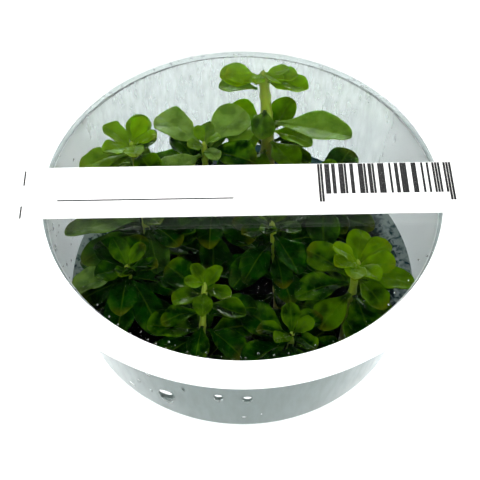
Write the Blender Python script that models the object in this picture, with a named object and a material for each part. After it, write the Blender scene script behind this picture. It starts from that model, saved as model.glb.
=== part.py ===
# A shallow round culture cup with young ludwigia shoots under a clear lid.
# Frame: metres, +Z up, origin on the cup's base at its centre, the front at -Y.

from collections import namedtuple
from itertools import product
from math import cos, pi, radians, sin, sqrt

import bmesh
import bpy
from mathutils import Matrix, Vector
from mathutils.bvhtree import BVHTree

MM = 0.001

# Clearance kept between pieces that touch, in mm like every size below.
GAP = 0.3

# The cup.
BASE_RADIUS = 39.4
MOUTH_RADIUS = 43.9
WALL = 0.9
FLOOR = 1.1
CORNER = 2.0
FLANGE_RADIUS = 48.8
FLANGE_THICKNESS = 0.8
FLANGE_TOP = 35.9

# The lid: a clear sheet on the flange, and a flat white ring round its edge.
WINDOW_RADIUS = 48.4
WINDOW_THICKNESS = 0.5
RIM_OUTER = 50.0
RIM_INNER = 44.0
RIM_THICKNESS = 1.0
RIM_EDGE = 0.3

# The paper strip across the lid.
STRIP_LENGTH = 96.6
STRIP_WIDTH = 14.3
STRIP_THICKNESS = 0.25
STRIP_OFFSET = -1.0
STRIP_TURN = 1.2

# The growing medium: its top, and its clearance from the cup's wall.
MEDIUM_TOP = 7.0
MEDIUM_GAP = 0.4

# Segments round the turned pieces, the distance at which their seam points merge, and the angle
# in degrees up to which neighbouring faces look smooth.
CUP_SEGMENTS = 48
RIM_SEGMENTS = 56
SEAM = 0.01
SMOOTH_ANGLE = 40

# Stems.
STEM_SIDES = 6
STEM_RINGS = 5
STEM_TAPER = 0.62

# Leaves: the shares of the length at which their rings lie, their thickness at the middle line
# and at the margin, and how far the margins rise, as a share of the half width, which they do in
# full from CUP_FULL of the length on.
LEAF_SHARES = (0, 0.2, 0.48, 0.78, 1)
LEAF_THICKNESS = 0.42
MARGIN_THICKNESS = 0.26
LEAF_CUP = 0.22
CUP_FULL = 1 / 3

# A leaf's outline: a skew over 1 puts its widest place past the middle, and a fullness under 1
# rounds its ends. The stalk and the tip stay this wide, as shares of the greatest width.
OUTLINE_SKEW = 1.45
OUTLINE_FULLNESS = 0.7
STALK_SHARE = 0.16
TIP_SHARE = 0.3

# Young leaves in a crown. From the first to the last their base climbs the end of the stem by
# CROWN_SPREAD of its length. In an even crown their length shrinks by CROWN_SHRINK of itself, and
# their rise grows by CROWN_LIFT degrees. Width and reach are shares of a leaf's length and of the
# stem's radius.
CROWN_LEAF_SHARES = (0, 0.35, 0.75, 1)
CROWN_LEAF_WIDTH = 0.64
CROWN_REACH = 0.35
CROWN_SPREAD = 0.10
CROWN_SHRINK = 0.35
CROWN_LIFT = 34
CROWN_DROOP = 24

# How far leaves stay from the wall, from the lid and from the medium.
WALL_CLEARANCE = 0.45
LID_CLEARANCE = 0.35
MEDIUM_CLEARANCE = 0.5

WINDOW_BOTTOM = FLANGE_TOP + GAP
WINDOW_TOP = WINDOW_BOTTOM + WINDOW_THICKNESS
RIM_BOTTOM = WINDOW_TOP + GAP
RIM_TOP = RIM_BOTTOM + RIM_THICKNESS
STRIP_BOTTOM = RIM_TOP + GAP

# A shoot stands on the medium at root, bends through middle, and ends at tip. Its crown is the
# rosette of young leaves at the tip, from the outermost in.
# A turn is in degrees, from +X (right) towards +Y (back), and so is a rise above the level.
Shoot = namedtuple("Shoot", "name root middle tip radius crown leaves")
Young = namedtuple("Young", "turn rise length")
# A leaf grows at a share of the stem's length, and droops by some degrees towards its tip.
Leaf = namedtuple("Leaf", "at turn rise length width droop")


# An even crown: how many leaves, the turn of the first, the step to the next, and the length and
# rise of the first.
def rosette(count, turn, step, length, rise):
    return tuple(
        Young(
            turn + step * index,
            rise + CROWN_LIFT * index / count,
            length * (1 - CROWN_SHRINK * index / count),
        )
        for index in range(count)
    )


SHOOTS = (
    Shoot(
        "back", (6, 29, 0), (6, 33.5, 12.5), (5, 40, 26.8), 1.7,
        (
            Young(172, 26, 11.0),
            Young(357, 22, 11.5),
            Young(160, 33, 9.5),
            Young(350, 30, 8.5),
            Young(32, 42, 6.5),
            Young(215, 22, 5.5),
            Young(250, 30, 5.4),
            Young(312, 38, 6.4),
        ),
        (
            Leaf(0.56, 350, 11, 20.0, 9.8, 4),
            Leaf(0.84, 178, 10, 9.5, 6.0, 16),
            Leaf(0.70, 262, 6, 8.5, 6.6, 30),
            Leaf(0.58, 222, 12, 10.0, 6.4, 22),
        ),
    ),
    Shoot(
        "back_left", (-21, 15, 0), (-24, 18, 11), (-26, 20.5, 22.5), 1.0,
        rosette(6, 78, 68, 9.5, 24),
        (
            Leaf(0.86, 168, 10, 12.0, 7.5, 16),
            Leaf(0.74, 200, 4, 12.5, 7.5, 20),
            Leaf(0.80, 335, 14, 10.5, 7.0, 20),
            Leaf(0.66, 262, 12, 11.0, 7.0, 26),
        ),
    ),
    Shoot(
        "back_middle", (-8, 15, 0), (-8.5, 18, 11), (-9, 20.5, 22.5), 0.95,
        rosette(5, 300, 137.5, 6.5, 34),
        (
            Leaf(0.92, 142, 10, 13.0, 10.0, 8),
            Leaf(0.90, 48, 12, 13.0, 9.5, 8),
            Leaf(0.86, 205, 8, 12.0, 8.5, 14),
            Leaf(0.74, 292, 20, 9.5, 6.0, 24),
        ),
    ),
    Shoot(
        "left", (-18, 1, 0), (-21, 1, 11), (-22, 1, 21), 1.0,
        rosette(6, 30, 137.5, 8.5, 30),
        (
            Leaf(0.88, 198, 8, 17.0, 8.0, 8),
            Leaf(0.68, 212, 4, 15.0, 7.0, 14),
            Leaf(0.78, 285, 10, 12.5, 7.5, 26),
            Leaf(0.62, 108, 16, 11.0, 7.0, 26),
        ),
    ),
    Shoot(
        "middle", (-6, 4, 0), (-6.5, 4, 11), (-7, 3, 22), 0.95,
        rosette(6, 60, 137.5, 8.5, 28),
        (
            Leaf(0.88, 268, 12, 10.0, 6.4, 28),
            Leaf(0.74, 205, 12, 11.5, 7.2, 26),
            Leaf(0.66, 320, 16, 11.5, 7.2, 26),
            Leaf(0.60, 90, 20, 10.5, 6.6, 26),
        ),
    ),
    Shoot(
        "right_back", (15, 6, 0), (17, 7, 10), (19, 7.5, 21.5), 1.0,
        rosette(6, 20, 137.5, 9.0, 28),
        (
            Leaf(0.86, 62, 16, 13.0, 8.5, 16),
            Leaf(0.84, 268, 8, 13.0, 8.5, 22),
            Leaf(0.70, 232, 12, 12.0, 7.5, 26),
            Leaf(0.60, 340, 16, 12.0, 7.5, 24),
        ),
    ),
    Shoot(
        "centre", (8, -9, 0), (7.5, -6, 11), (6.5, -2, 21.5), 1.0,
        rosette(6, 200, 137.5, 7.5, 26),
        (
            Leaf(0.80, 238, 8, 11.5, 7.0, 30),
            Leaf(0.68, 225, 8, 12.0, 7.5, 28),
            Leaf(0.74, 318, 10, 12.0, 7.5, 26),
            Leaf(0.60, 285, 8, 11.0, 7.0, 28),
        ),
    ),
    Shoot(
        "right", (22, -18, 0), (23.5, -15.5, 11), (25, -13, 22), 1.1,
        rosette(7, 80, -45, 9.5, 18),
        (
            Leaf(0.80, 350, 10, 11.5, 7.0, 20),
            Leaf(0.64, 296, 8, 12.5, 8.0, 24),
            Leaf(0.56, 258, 8, 12.5, 8.0, 24),
            Leaf(0.74, 196, 12, 12.0, 7.5, 28),
        ),
    ),
    Shoot(
        "front_left", (-9, -28, 0), (-8.6, -24.5, 11), (-8, -19.3, 22.5), 0.85,
        rosette(6, 195, 72, 7.0, 12),
        (
            Leaf(0.84, 146, 10, 11.0, 7.0, 22),
            Leaf(0.62, 318, 10, 10.5, 6.5, 30),
            Leaf(0.54, 212, 10, 12.0, 7.0, 28),
            Leaf(0.70, 10, 14, 10.5, 6.5, 28),
        ),
    ),
    Shoot(
        "left_front", (-23, -10, 0), (-24.5, -11.5, 10), (-25, -12.5, 19.5), 1.0,
        rosette(6, 70, 137.5, 8.5, 24),
        (
            Leaf(0.88, 204, 8, 11.5, 7.5, 22),
            Leaf(0.80, 300, 6, 14.5, 7.0, 34),
            Leaf(0.70, 262, 8, 12.5, 7.5, 30),
            Leaf(0.60, 150, 16, 11.0, 7.0, 26),
        ),
    ),
    Shoot(
        "front", (9, -26, 0), (9.8, -26.5, 8), (10.5, -26.5, 15.5), 0.9,
        rosette(6, 40, 137.5, 8.0, 18),
        (
            Leaf(0.84, 262, 4, 10.0, 6.5, 14),
            Leaf(0.74, 338, 8, 11.5, 7.5, 24),
            Leaf(0.66, 200, 10, 10.5, 6.5, 26),
            Leaf(0.56, 110, 16, 9.5, 6.0, 26),
        ),
    ),
)

# A leaf that would meet something turns, then lifts or drops, then starts lower on its stem, by
# the least of these that clears it, and grows shorter when none does.
TURN_TRIALS = (0, 6, -6, 12, -12, 19, -19, 27, -27, 36, -36)
RISE_TRIALS = (0, 8, -8, 16, -16, 25, -24, 35)
SLIDE_TRIALS = (0, -0.05, -0.1, -0.16)
LENGTH_TRIALS = (1.0, 0.88, 0.76, 0.64, 0.54)

Finish = namedtuple("Finish", "colour roughness metallic")

MILKY_PLASTIC = Finish((0.72, 0.78, 0.76), 0.30, 0.0)
CLEAR_SHEET = Finish((0.90, 0.93, 0.92), 0.06, 0.0)
WHITE_PLASTIC = Finish((0.86, 0.88, 0.88), 0.40, 0.0)
WHITE_PAPER = Finish((0.90, 0.90, 0.89), 0.75, 0.0)
DARK_GEL = Finish((0.010, 0.018, 0.018), 0.12, 0.0)
STEM_OLIVE = Finish((0.14, 0.17, 0.03), 0.45, 0.0)
LEAF_GREEN = Finish((0.07, 0.17, 0.02), 0.38, 0.0)


# Remove what is in the scene.
def clear_scene():
    for old in list(bpy.data.objects):
        bpy.data.objects.remove(old, do_unlink=True)


# One Principled material.
def make_material(name, finish):
    material = bpy.data.materials.new(name)
    material.use_nodes = True
    shader = material.node_tree.nodes["Principled BSDF"]
    shader.inputs["Base Color"].default_value = (*finish.colour, 1.0)
    shader.inputs["Roughness"].default_value = finish.roughness
    shader.inputs["Metallic"].default_value = finish.metallic
    return material


# A mesh from points in mm and faces, with its faces pointing out.
def make_mesh(name, points, faces):
    mesh = bpy.data.meshes.new(name)
    mesh.from_pydata([Vector(p) * MM for p in points], [], faces)
    shell = bmesh.new()
    shell.from_mesh(mesh)
    bmesh.ops.recalc_face_normals(shell, faces=shell.faces)
    shell.to_mesh(mesh)
    shell.free()
    return mesh


# An object of one mesh with its finish, in the scene.
def add_object(name, mesh, finish):
    piece = bpy.data.objects.new(name, mesh)
    bpy.context.collection.objects.link(piece)
    mesh.materials.clear()
    mesh.materials.append(make_material(name, finish))
    mesh.shade_smooth()
    mesh.set_sharp_from_angle(angle=radians(SMOOTH_ANGLE))
    return piece


# A solid turned about Z from a profile of (radius, height) pairs in mm.
def turned(name, profile, segments, finish, closed=False):
    shell = bmesh.new()
    line = [shell.verts.new((radius * MM, 0, height * MM)) for radius, height in profile]
    ends = list(zip(line, line[1:]))
    if closed:
        ends.append((line[-1], line[0]))
    edges = [shell.edges.new(pair) for pair in ends]
    bmesh.ops.spin(
        shell,
        geom=line + edges,
        cent=(0, 0, 0),
        axis=(0, 0, 1),
        angle=2 * pi,
        steps=segments,
        use_merge=True,
    )
    bmesh.ops.remove_doubles(shell, verts=shell.verts, dist=SEAM * MM)
    bmesh.ops.recalc_face_normals(shell, faces=shell.faces)
    mesh = bpy.data.meshes.new(name)
    shell.to_mesh(mesh)
    shell.free()
    return add_object(name, mesh, finish)


# Points on a quarter-circle corner, from angle first to angle last in degrees.
def corner_points(centre, radius, first, last, count=3):
    angles = [radians(first + (last - first) * i / count) for i in range(count + 1)]
    return [(centre[0] + radius * cos(a), centre[1] + radius * sin(a)) for a in angles]


# Radius of the cup's inner wall at a height.
def inner_radius(height):
    share = (height - CORNER) / (FLANGE_TOP - CORNER)
    return BASE_RADIUS - WALL + (MOUTH_RADIUS - BASE_RADIUS) * share


# The cup, with its floor, wall and flange in one turned shell.
def build_cup():
    inner_corner = CORNER - WALL
    flange_bottom = FLANGE_TOP - FLANGE_THICKNESS
    profile = [(0, FLOOR)]
    profile += corner_points(
        (BASE_RADIUS - WALL - inner_corner, FLOOR + inner_corner), inner_corner, -90, 0, 2
    )
    profile += [
        (MOUTH_RADIUS - WALL, FLANGE_TOP),
        (FLANGE_RADIUS, FLANGE_TOP),
        (FLANGE_RADIUS, flange_bottom),
        (MOUTH_RADIUS, flange_bottom),
    ]
    profile += corner_points((BASE_RADIUS - CORNER, CORNER), CORNER, 0, -90)
    profile.append((0, 0))
    turned("cup", profile, CUP_SEGMENTS, MILKY_PLASTIC)


# The clear sheet on the flange.
def build_window():
    profile = [
        (0, WINDOW_TOP),
        (WINDOW_RADIUS, WINDOW_TOP),
        (WINDOW_RADIUS, WINDOW_BOTTOM),
        (0, WINDOW_BOTTOM),
    ]
    turned("lid_window", profile, CUP_SEGMENTS, CLEAR_SHEET)


# The white ring, its two top edges eased.
def build_rim():
    profile = [
        (RIM_INNER, RIM_BOTTOM),
        (RIM_INNER, RIM_TOP - RIM_EDGE),
        (RIM_INNER + RIM_EDGE, RIM_TOP),
        (RIM_OUTER - RIM_EDGE, RIM_TOP),
        (RIM_OUTER, RIM_TOP - RIM_EDGE),
        (RIM_OUTER, RIM_BOTTOM),
    ]
    turned("lid_rim", profile, RIM_SEGMENTS, WHITE_PLASTIC, closed=True)


# The paper strip, laid across the ring from side to side.
def build_strip():
    shell = bmesh.new()
    bmesh.ops.create_cube(shell, size=MM)
    bmesh.ops.scale(shell, vec=(STRIP_LENGTH, STRIP_WIDTH, STRIP_THICKNESS), verts=shell.verts)
    place = Matrix.Translation(Vector((0, STRIP_OFFSET, STRIP_BOTTOM + STRIP_THICKNESS / 2)) * MM)
    turn = Matrix.Rotation(radians(STRIP_TURN), 4, "Z")
    bmesh.ops.transform(shell, matrix=place @ turn, verts=shell.verts)
    mesh = bpy.data.meshes.new("label_strip")
    shell.to_mesh(mesh)
    shell.free()
    add_object("label_strip", mesh, WHITE_PAPER)


# The gel on the cup's floor.
def build_medium():
    edge = inner_radius(MEDIUM_TOP) - MEDIUM_GAP
    foot = BASE_RADIUS - WALL - MEDIUM_GAP
    bottom = FLOOR + GAP
    bevel = CORNER - WALL
    profile = [
        (0, MEDIUM_TOP),
        (edge, MEDIUM_TOP),
        (foot, bottom + bevel),
        (foot - bevel, bottom),
        (0, bottom),
    ]
    turned("growing_medium", profile, CUP_SEGMENTS, DARK_GEL)


# Faces of a tube of rings with equal counts of points, closed at both ends.
def tube_faces(ring_count, around):
    faces = [tuple(reversed(range(around)))]
    for ring in range(ring_count - 1):
        for side in range(around):
            after = (side + 1) % around
            low = ring * around
            faces.append((low + side, low + after, low + around + after, low + around + side))
    last = (ring_count - 1) * around
    faces.append(tuple(range(last, last + around)))
    return faces


# A point on the smooth line through a shoot's root, middle and tip, whose heights are above the
# foot of the stems.
def stem_point(shoot, share):
    root, middle, tip = (Vector(p) + Vector((0, 0, MEDIUM_TOP + GAP)) for p in shoot[1:4])
    pull = 2 * middle - (root + tip) / 2
    return root * (1 - share) ** 2 + pull * 2 * share * (1 - share) + tip * share ** 2


def stem_direction(shoot, share, step=0.02):
    return (stem_point(shoot, share + step) - stem_point(shoot, share - step)).normalized()


def stem_radius(shoot, share):
    return shoot.radius * (1 - (1 - STEM_TAPER) * share)


# The stem's tube: rings of points square to its line, the first one level on the medium.
def stem_mesh(shoot):
    points = []
    for ring in range(STEM_RINGS):
        share = ring / (STEM_RINGS - 1)
        along = stem_direction(shoot, share) if ring else Vector((0, 0, 1))
        across = along.cross(Vector((0, -1, 0))).normalized()
        other = along.cross(across)
        for side in range(STEM_SIDES):
            angle = 2 * pi * side / STEM_SIDES
            offset = across * cos(angle) + other * sin(angle)
            points.append(stem_point(shoot, share) + offset * stem_radius(shoot, share))
    return points, tube_faces(STEM_RINGS, STEM_SIDES)


# Half the width of a leaf at a share of its length, as a share of its greatest half width:
# a narrow stalk, a blade that is widest past its middle, and a blunt point.
def leaf_outline(share):
    blade = sin(pi * share ** OUTLINE_SKEW) ** OUTLINE_FULLNESS if share < 1 else 0
    return max(blade, STALK_SHARE if share < 0.5 else TIP_SHARE)


# A leaf's rings at some shares of its length: six points each, over the top from left to right
# and back underneath. Its line leaves base at a turn and a rise, and bends down by its droop.
# Swell thickens it for testing.
def leaf_mesh(base, turn, rise, leaf, shares, swell=0):
    heading = Vector((cos(radians(turn)), sin(radians(turn)), 0))
    side = Vector((-heading.y, heading.x, 0))
    point = Vector(base)
    points = []
    before = 0
    for share in shares:
        chord_angle = radians(rise - leaf.droop * (share + before) / 2)
        chord = heading * cos(chord_angle) + Vector((0, 0, 1)) * sin(chord_angle)
        point = point + chord * leaf.length * (share - before)
        before = share
        angle = radians(rise - leaf.droop * share)
        up = heading * -sin(angle) + Vector((0, 0, 1)) * cos(angle)
        half = leaf.width / 2 * leaf_outline(share) + swell
        lift = up * half * LEAF_CUP * min(1.0, share / CUP_FULL)
        middle = up * (LEAF_THICKNESS / 2 + swell)
        margin = up * (MARGIN_THICKNESS / 2 + swell)
        left = point + side * half + lift
        right = point - side * half + lift
        points += [left + margin, point + middle, right + margin]
        points += [right - margin, point - middle, left - margin]
    return points, tube_faces(len(shares), 6)


# Whether points lie inside the cup, over the medium and under the lid.
def inside_cup(points):
    for point in points:
        if point.z > WINDOW_BOTTOM - LID_CLEARANCE or point.z < MEDIUM_TOP + MEDIUM_CLEARANCE:
            return False
        if Vector((point.x, point.y)).length > inner_radius(point.z) - WALL_CLEARANCE:
            return False
    return True


# The nearest stance to the wanted one in which a leaf meets nothing that is in place already.
# Reach is how far from the stem's middle line it starts, as a share of the stem's radius. A leaf
# that has to be shorter narrows less than it shortens.
def find_room(shoot, leaf, reach, gap, slides, shares, placed):
    for length in LENGTH_TRIALS:
        sized = leaf._replace(length=leaf.length * length, width=leaf.width * sqrt(length))
        for slide, lift, swing in product(slides, RISE_TRIALS, TURN_TRIALS):
            at = leaf.at + slide
            turn = leaf.turn + swing
            rise = leaf.rise + lift
            heading = Vector((cos(radians(turn)), sin(radians(turn)), 0))
            start = stem_point(shoot, at) + heading * (stem_radius(shoot, at) * reach + gap)
            points, faces = leaf_mesh(start, turn, rise, sized, shares, swell=GAP / 2)
            if not inside_cup(points):
                continue
            tree = BVHTree.FromPolygons(points, faces)
            if not any(tree.overlap(other) for other in placed):
                return leaf_mesh(start, turn, rise, sized, shares)
    raise RuntimeError("no room for leaf %s on shoot %s" % (leaf, shoot.name))


# The young leaves at a shoot's tip, from the outermost in.
def crown_leaves(shoot, placed):
    meshes = []
    for index, young in enumerate(shoot.crown):
        at = 1 - CROWN_SPREAD * (1 - index / len(shoot.crown))
        width = young.length * CROWN_LEAF_WIDTH
        leaf = Leaf(at, young.turn, young.rise, young.length, width, CROWN_DROOP)
        meshes.append(find_room(shoot, leaf, CROWN_REACH, 0, (0,), CROWN_LEAF_SHARES, placed))
    return meshes


# One solid from pieces that overlap, the first joined with each of the others.
def fuse(name, meshes, finish):
    pieces = []
    for points, faces in meshes:
        piece = bpy.data.objects.new(name, make_mesh(name, points, faces))
        bpy.context.collection.objects.link(piece)
        pieces.append(piece)
    whole = pieces[0]
    for piece in pieces[1:]:
        union = whole.modifiers.new("join", "BOOLEAN")
        union.operation = "UNION"
        union.object = piece
    depsgraph = bpy.context.evaluated_depsgraph_get()
    mesh = bpy.data.meshes.new_from_object(whole.evaluated_get(depsgraph))
    mesh.name = name
    for piece in pieces:
        bpy.data.objects.remove(piece, do_unlink=True)
    return add_object(name, mesh, finish)


# Every shoot: the stems with their crowns first, and then the larger leaves between them.
def build_shoots():
    stems = {shoot.name: stem_mesh(shoot) for shoot in SHOOTS}
    trees = {name: BVHTree.FromPolygons(*mesh) for name, mesh in stems.items()}
    placed = []
    for shoot in SHOOTS:
        others = [tree for name, tree in trees.items() if name != shoot.name]
        crown = crown_leaves(shoot, others + placed)
        fuse("stem_" + shoot.name, [stems[shoot.name]] + crown, STEM_OLIVE)
        placed += [BVHTree.FromPolygons(*mesh) for mesh in crown]
    placed += trees.values()
    for number in range(max(len(shoot.leaves) for shoot in SHOOTS)):
        for shoot in SHOOTS:
            if number < len(shoot.leaves):
                leaf = shoot.leaves[number]
                mesh = find_room(shoot, leaf, 1, 2 * GAP, SLIDE_TRIALS, LEAF_SHARES, placed)
                placed.append(BVHTree.FromPolygons(*mesh))
                name = "leaf_%s_%d" % (shoot.name, number + 1)
                add_object(name, make_mesh(name, *mesh), LEAF_GREEN)


clear_scene()
build_cup()
build_window()
build_rim()
build_strip()
build_medium()
build_shoots()
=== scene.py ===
# Looks of a shallow round culture cup in which young ludwigia shoots stand under a clear lid.
# Sizes are in millimetres times MM, in the frame of the packed solids: +Z up, the front at -Y.

from collections import namedtuple
from itertools import product
from math import atan2, cos, exp, hypot, pi, radians, sin, sqrt
from random import Random

import bpy
from bpy.props import FloatProperty, FloatVectorProperty, IntProperty, PointerProperty
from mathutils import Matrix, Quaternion, Vector, noise
from mathutils.bvhtree import BVHTree


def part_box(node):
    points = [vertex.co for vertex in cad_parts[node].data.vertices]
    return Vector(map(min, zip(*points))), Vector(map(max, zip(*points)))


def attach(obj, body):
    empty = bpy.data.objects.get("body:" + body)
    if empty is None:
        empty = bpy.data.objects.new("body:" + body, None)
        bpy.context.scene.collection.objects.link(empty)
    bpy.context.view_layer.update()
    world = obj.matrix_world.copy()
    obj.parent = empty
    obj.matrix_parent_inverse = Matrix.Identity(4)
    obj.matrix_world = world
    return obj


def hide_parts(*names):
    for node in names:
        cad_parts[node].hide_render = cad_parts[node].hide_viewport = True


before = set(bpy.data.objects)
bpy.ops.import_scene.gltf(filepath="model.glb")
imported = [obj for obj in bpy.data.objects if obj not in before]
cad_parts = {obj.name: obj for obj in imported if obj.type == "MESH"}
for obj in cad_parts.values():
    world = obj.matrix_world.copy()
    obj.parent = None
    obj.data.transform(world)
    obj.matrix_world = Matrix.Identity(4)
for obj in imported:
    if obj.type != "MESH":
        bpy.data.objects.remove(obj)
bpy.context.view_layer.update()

bl_info = {
    "name": "Culture cup with young ludwigia",
    "version": (1, 0, 0),
    "blender": (4, 5, 0),
    "location": "3D View > Sidebar > Culture Cup",
    "description": "Dresses a lidded culture cup: its plastic, label, gel, shoots, leaves and drops",
    "category": "Add Mesh",
}

MM = 0.001

# Levels and places that the solids give.
CUP_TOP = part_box("cup")[1].z
SHEET_LOW, SHEET_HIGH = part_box("lid_window")
RING_LOW, RING_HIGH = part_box("lid_rim")
STRIP_LOW, STRIP_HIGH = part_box("label_strip")
GEL_LOW, GEL_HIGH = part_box("growing_medium")

# The gaps between the gel and the foot of a stem, and between the gel and the cup's wall.
STEM_GAP = 0.3 * MM
GEL_GAP = 0.4 * MM

# Seeds of the chance draws: of the bars, of the drops, of how the small leaves stand, and of the
# outlines of the larger and of the small leaves.
BAR_SEED = 11
DROP_SEED = 41
STANCE_SEED = 700
LARGE_LEAF_SEED = 5000
LOWER_LEAF_SEED = 9000

# Pairs of side veins on a leaf.
SIDE_VEINS = 6


# Linear colour, with full alpha, from an sRGB hex value.
def linear(hex_value):
    channels = [int(hex_value[i:i + 2], 16) / 255 for i in (1, 3, 5)]
    return (*[c / 12.92 if c <= 0.04045 else ((c + 0.055) / 1.055) ** 2.4 for c in channels], 1.0)


# A length setting, from its size in millimetres.
def length_value(name, description, millimetres):
    return FloatProperty(
        name=name, description=description, default=millimetres * MM, min=0, unit="LENGTH", precision=5
    )


# A colour setting, from its sRGB hex value.
def colour_value(name, description, hex_value):
    return FloatVectorProperty(
        name=name, description=description, default=linear(hex_value)[:3], min=0, max=1, subtype="COLOR"
    )


# A share setting, from 0 to 1.
def share_value(name, description, value):
    return FloatProperty(
        name=name, description=description, default=value, min=0, max=1, subtype="FACTOR"
    )


class CupSettings(bpy.types.PropertyGroup):
    """Sizes and colours of the cup, its lid and its gel"""

    base_radius: length_value("Base radius", "Radius of the cup's wall, taken down to its foot", 39.4)
    mouth_radius: length_value("Mouth radius", "Radius of the cup's wall under the flange", 43.9)
    wall: length_value("Wall", "Thickness of the cup's wall", 0.9)
    floor: length_value("Floor", "Thickness of the cup's floor", 1.1)
    corner: length_value("Corner", "Radius of the corner at the cup's foot", 2.0)
    flange: length_value("Flange", "Thickness of the flange at the cup's mouth", 0.8)
    easing: length_value("Easing", "Radius that eases the edges of the moulded pieces", 0.25)
    ring_inner: length_value("Ring opening", "Radius of the opening in the white ring", 44.0)
    gel_dip: length_value("Gel dip", "How far the gel lies below its own edge", 0.45)
    plastic: colour_value("Cup", "Tint of the cup's plastic", "#F3FAF9")
    ring: colour_value("Ring", "Colour of the white plastic", "#F4F6F6")
    sheet: colour_value("Clear sheet", "Tint of the clear sheet", "#FCFEFD")
    # Painted shade: the grey that the cup's outside is painted towards at the front, for the dark gel seen
    # through it.
    painted_front_shade: colour_value("Haze", "Tint of the cup's front, where the dark gel shows through", "#7A8C88")
    gel: colour_value("Gel", "Colour of the dark gel", "#020405")


class StripSettings(bpy.types.PropertyGroup):
    """Sizes and colours of the paper strip and its print"""

    length: length_value("Length", "Length of the paper strip", 96.6)
    width: length_value("Width", "Width of the paper strip", 14.3)
    offset: length_value("Offset", "How far in front of the cup's middle the strip lies", 1.0)
    turn: FloatProperty(
        name="Turn", description="Turn of the strip about the cup's axis",
        default=radians(1.2), subtype="ANGLE",
    )
    print_height: length_value("Print", "Thickness given to the print on the strip", 0.02)
    module: length_value("Bar", "Width of the narrowest bar", 0.312)
    gain: length_value("Print gain", "How much wider a bar prints than it is drawn", 0.22)
    paper: colour_value("Paper", "Colour of the label paper", "#F8F8F6")
    ink: colour_value("Ink", "Colour of the print", "#060606")


class PlantSettings(bpy.types.PropertyGroup):
    """Sizes and colours of the shoots and leaves"""

    leaf_thickness: length_value("Leaf thickness", "Thickness of a leaf beside its midrib", 0.34)
    margin_thickness: length_value("Margin thickness", "Thickness of a leaf at its margin", 0.14)
    cupping: share_value("Cupping", "Rise of a leaf's margins, as a share of its half width", 0.26)
    ruffle: share_value("Ruffle", "Waves of a leaf's margins, as a share of its width", 0.05)
    lower_leaves: IntProperty(
        name="Lower leaves", description="Small leaves sought along each stem", default=12, min=0, max=40
    )
    mature: colour_value("Mature leaf", "Colour of a mature leaf", "#0A3C01")
    deep: colour_value("Deep green", "Colour in a leaf's darkest clouds", "#022200")
    # Painted shade: the near-black green that leaves low on the stems are painted towards.
    painted_low_shade: colour_value("Old leaf", "Colour of the leaves low on a stem", "#000600")
    # Young leaf: also the glow that backlit leaves are painted towards, a painted light.
    young: colour_value("Young leaf", "Colour of a leaf that's still growing", "#7CA806")
    damp: colour_value("Damp leaf", "Colour of a leaf behind a film of damp", "#86A654")
    rib: colour_value("Rib", "Colour of the midrib and veins", "#6C8C1A")
    tip: colour_value("Leaf tip", "Colour of a leaf tip that has turned", "#7C7A0C")
    stem: colour_value("Stem", "Colour of a stem towards its tip", "#9DB436")
    foot: colour_value("Stem foot", "Colour of a stem at its foot", "#6B5A2C")


class StageSettings(bpy.types.PropertyGroup):
    """Camera, floor and light"""

    focal_length: FloatProperty(
        name="Focal length", description="Focal length on a sensor 36 mm wide", default=81.5,
        unit="CAMERA",
    )
    distance: length_value("Distance", "Distance of the camera from the middle of the lid", 240.0)
    elevation: FloatProperty(
        name="Elevation", description="Angle of the view above the level", default=radians(50.3),
        subtype="ANGLE",
    )
    floor: colour_value("Floor", "Colour of the pale floor", "#ECEDED")
    horizon: FloatProperty(
        name="Horizon", description="Strength of the bright horizon beside and behind the cup",
        default=11.0, min=0,
    )
    softbox: FloatProperty(
        name="Softbox", description="Power of the softbox in watts", default=8.6, min=0, unit="POWER"
    )
    back_light: FloatProperty(
        name="Back light", description="Power of the low light behind the cup in watts",
        default=12.0, min=0, unit="POWER",
    )


# Gives a node's inputs their values, or links them from other sockets, by socket name or number.
def feed(tree, node, inputs):
    for name, value in inputs.items():
        if isinstance(value, bpy.types.NodeSocket):
            tree.links.new(value, node.inputs[name])
        else:
            node.inputs[name].default_value = value


# Adds a node, with what feeds its inputs, and with settings, which are its own properties.
def add_node(tree, kind, inputs=None, **settings):
    node = tree.nodes.new(kind)
    for name, value in settings.items():
        setattr(node, name, value)
    feed(tree, node, inputs or {})
    return node


# Socket numbers of a Mix node that mixes colours.
FACTOR, FROM, TO, RESULT = 0, 6, 7, 2


# A new material with a Principled shader, its node tree and that shader.
def new_material(name, **values):
    material = bpy.data.materials.new(name)
    material.use_nodes = True
    tree = material.node_tree
    shader = tree.nodes["Principled BSDF"]
    feed(tree, shader, {socket.replace("_", " "): value for socket, value in values.items()})
    return material, tree, shader


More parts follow.
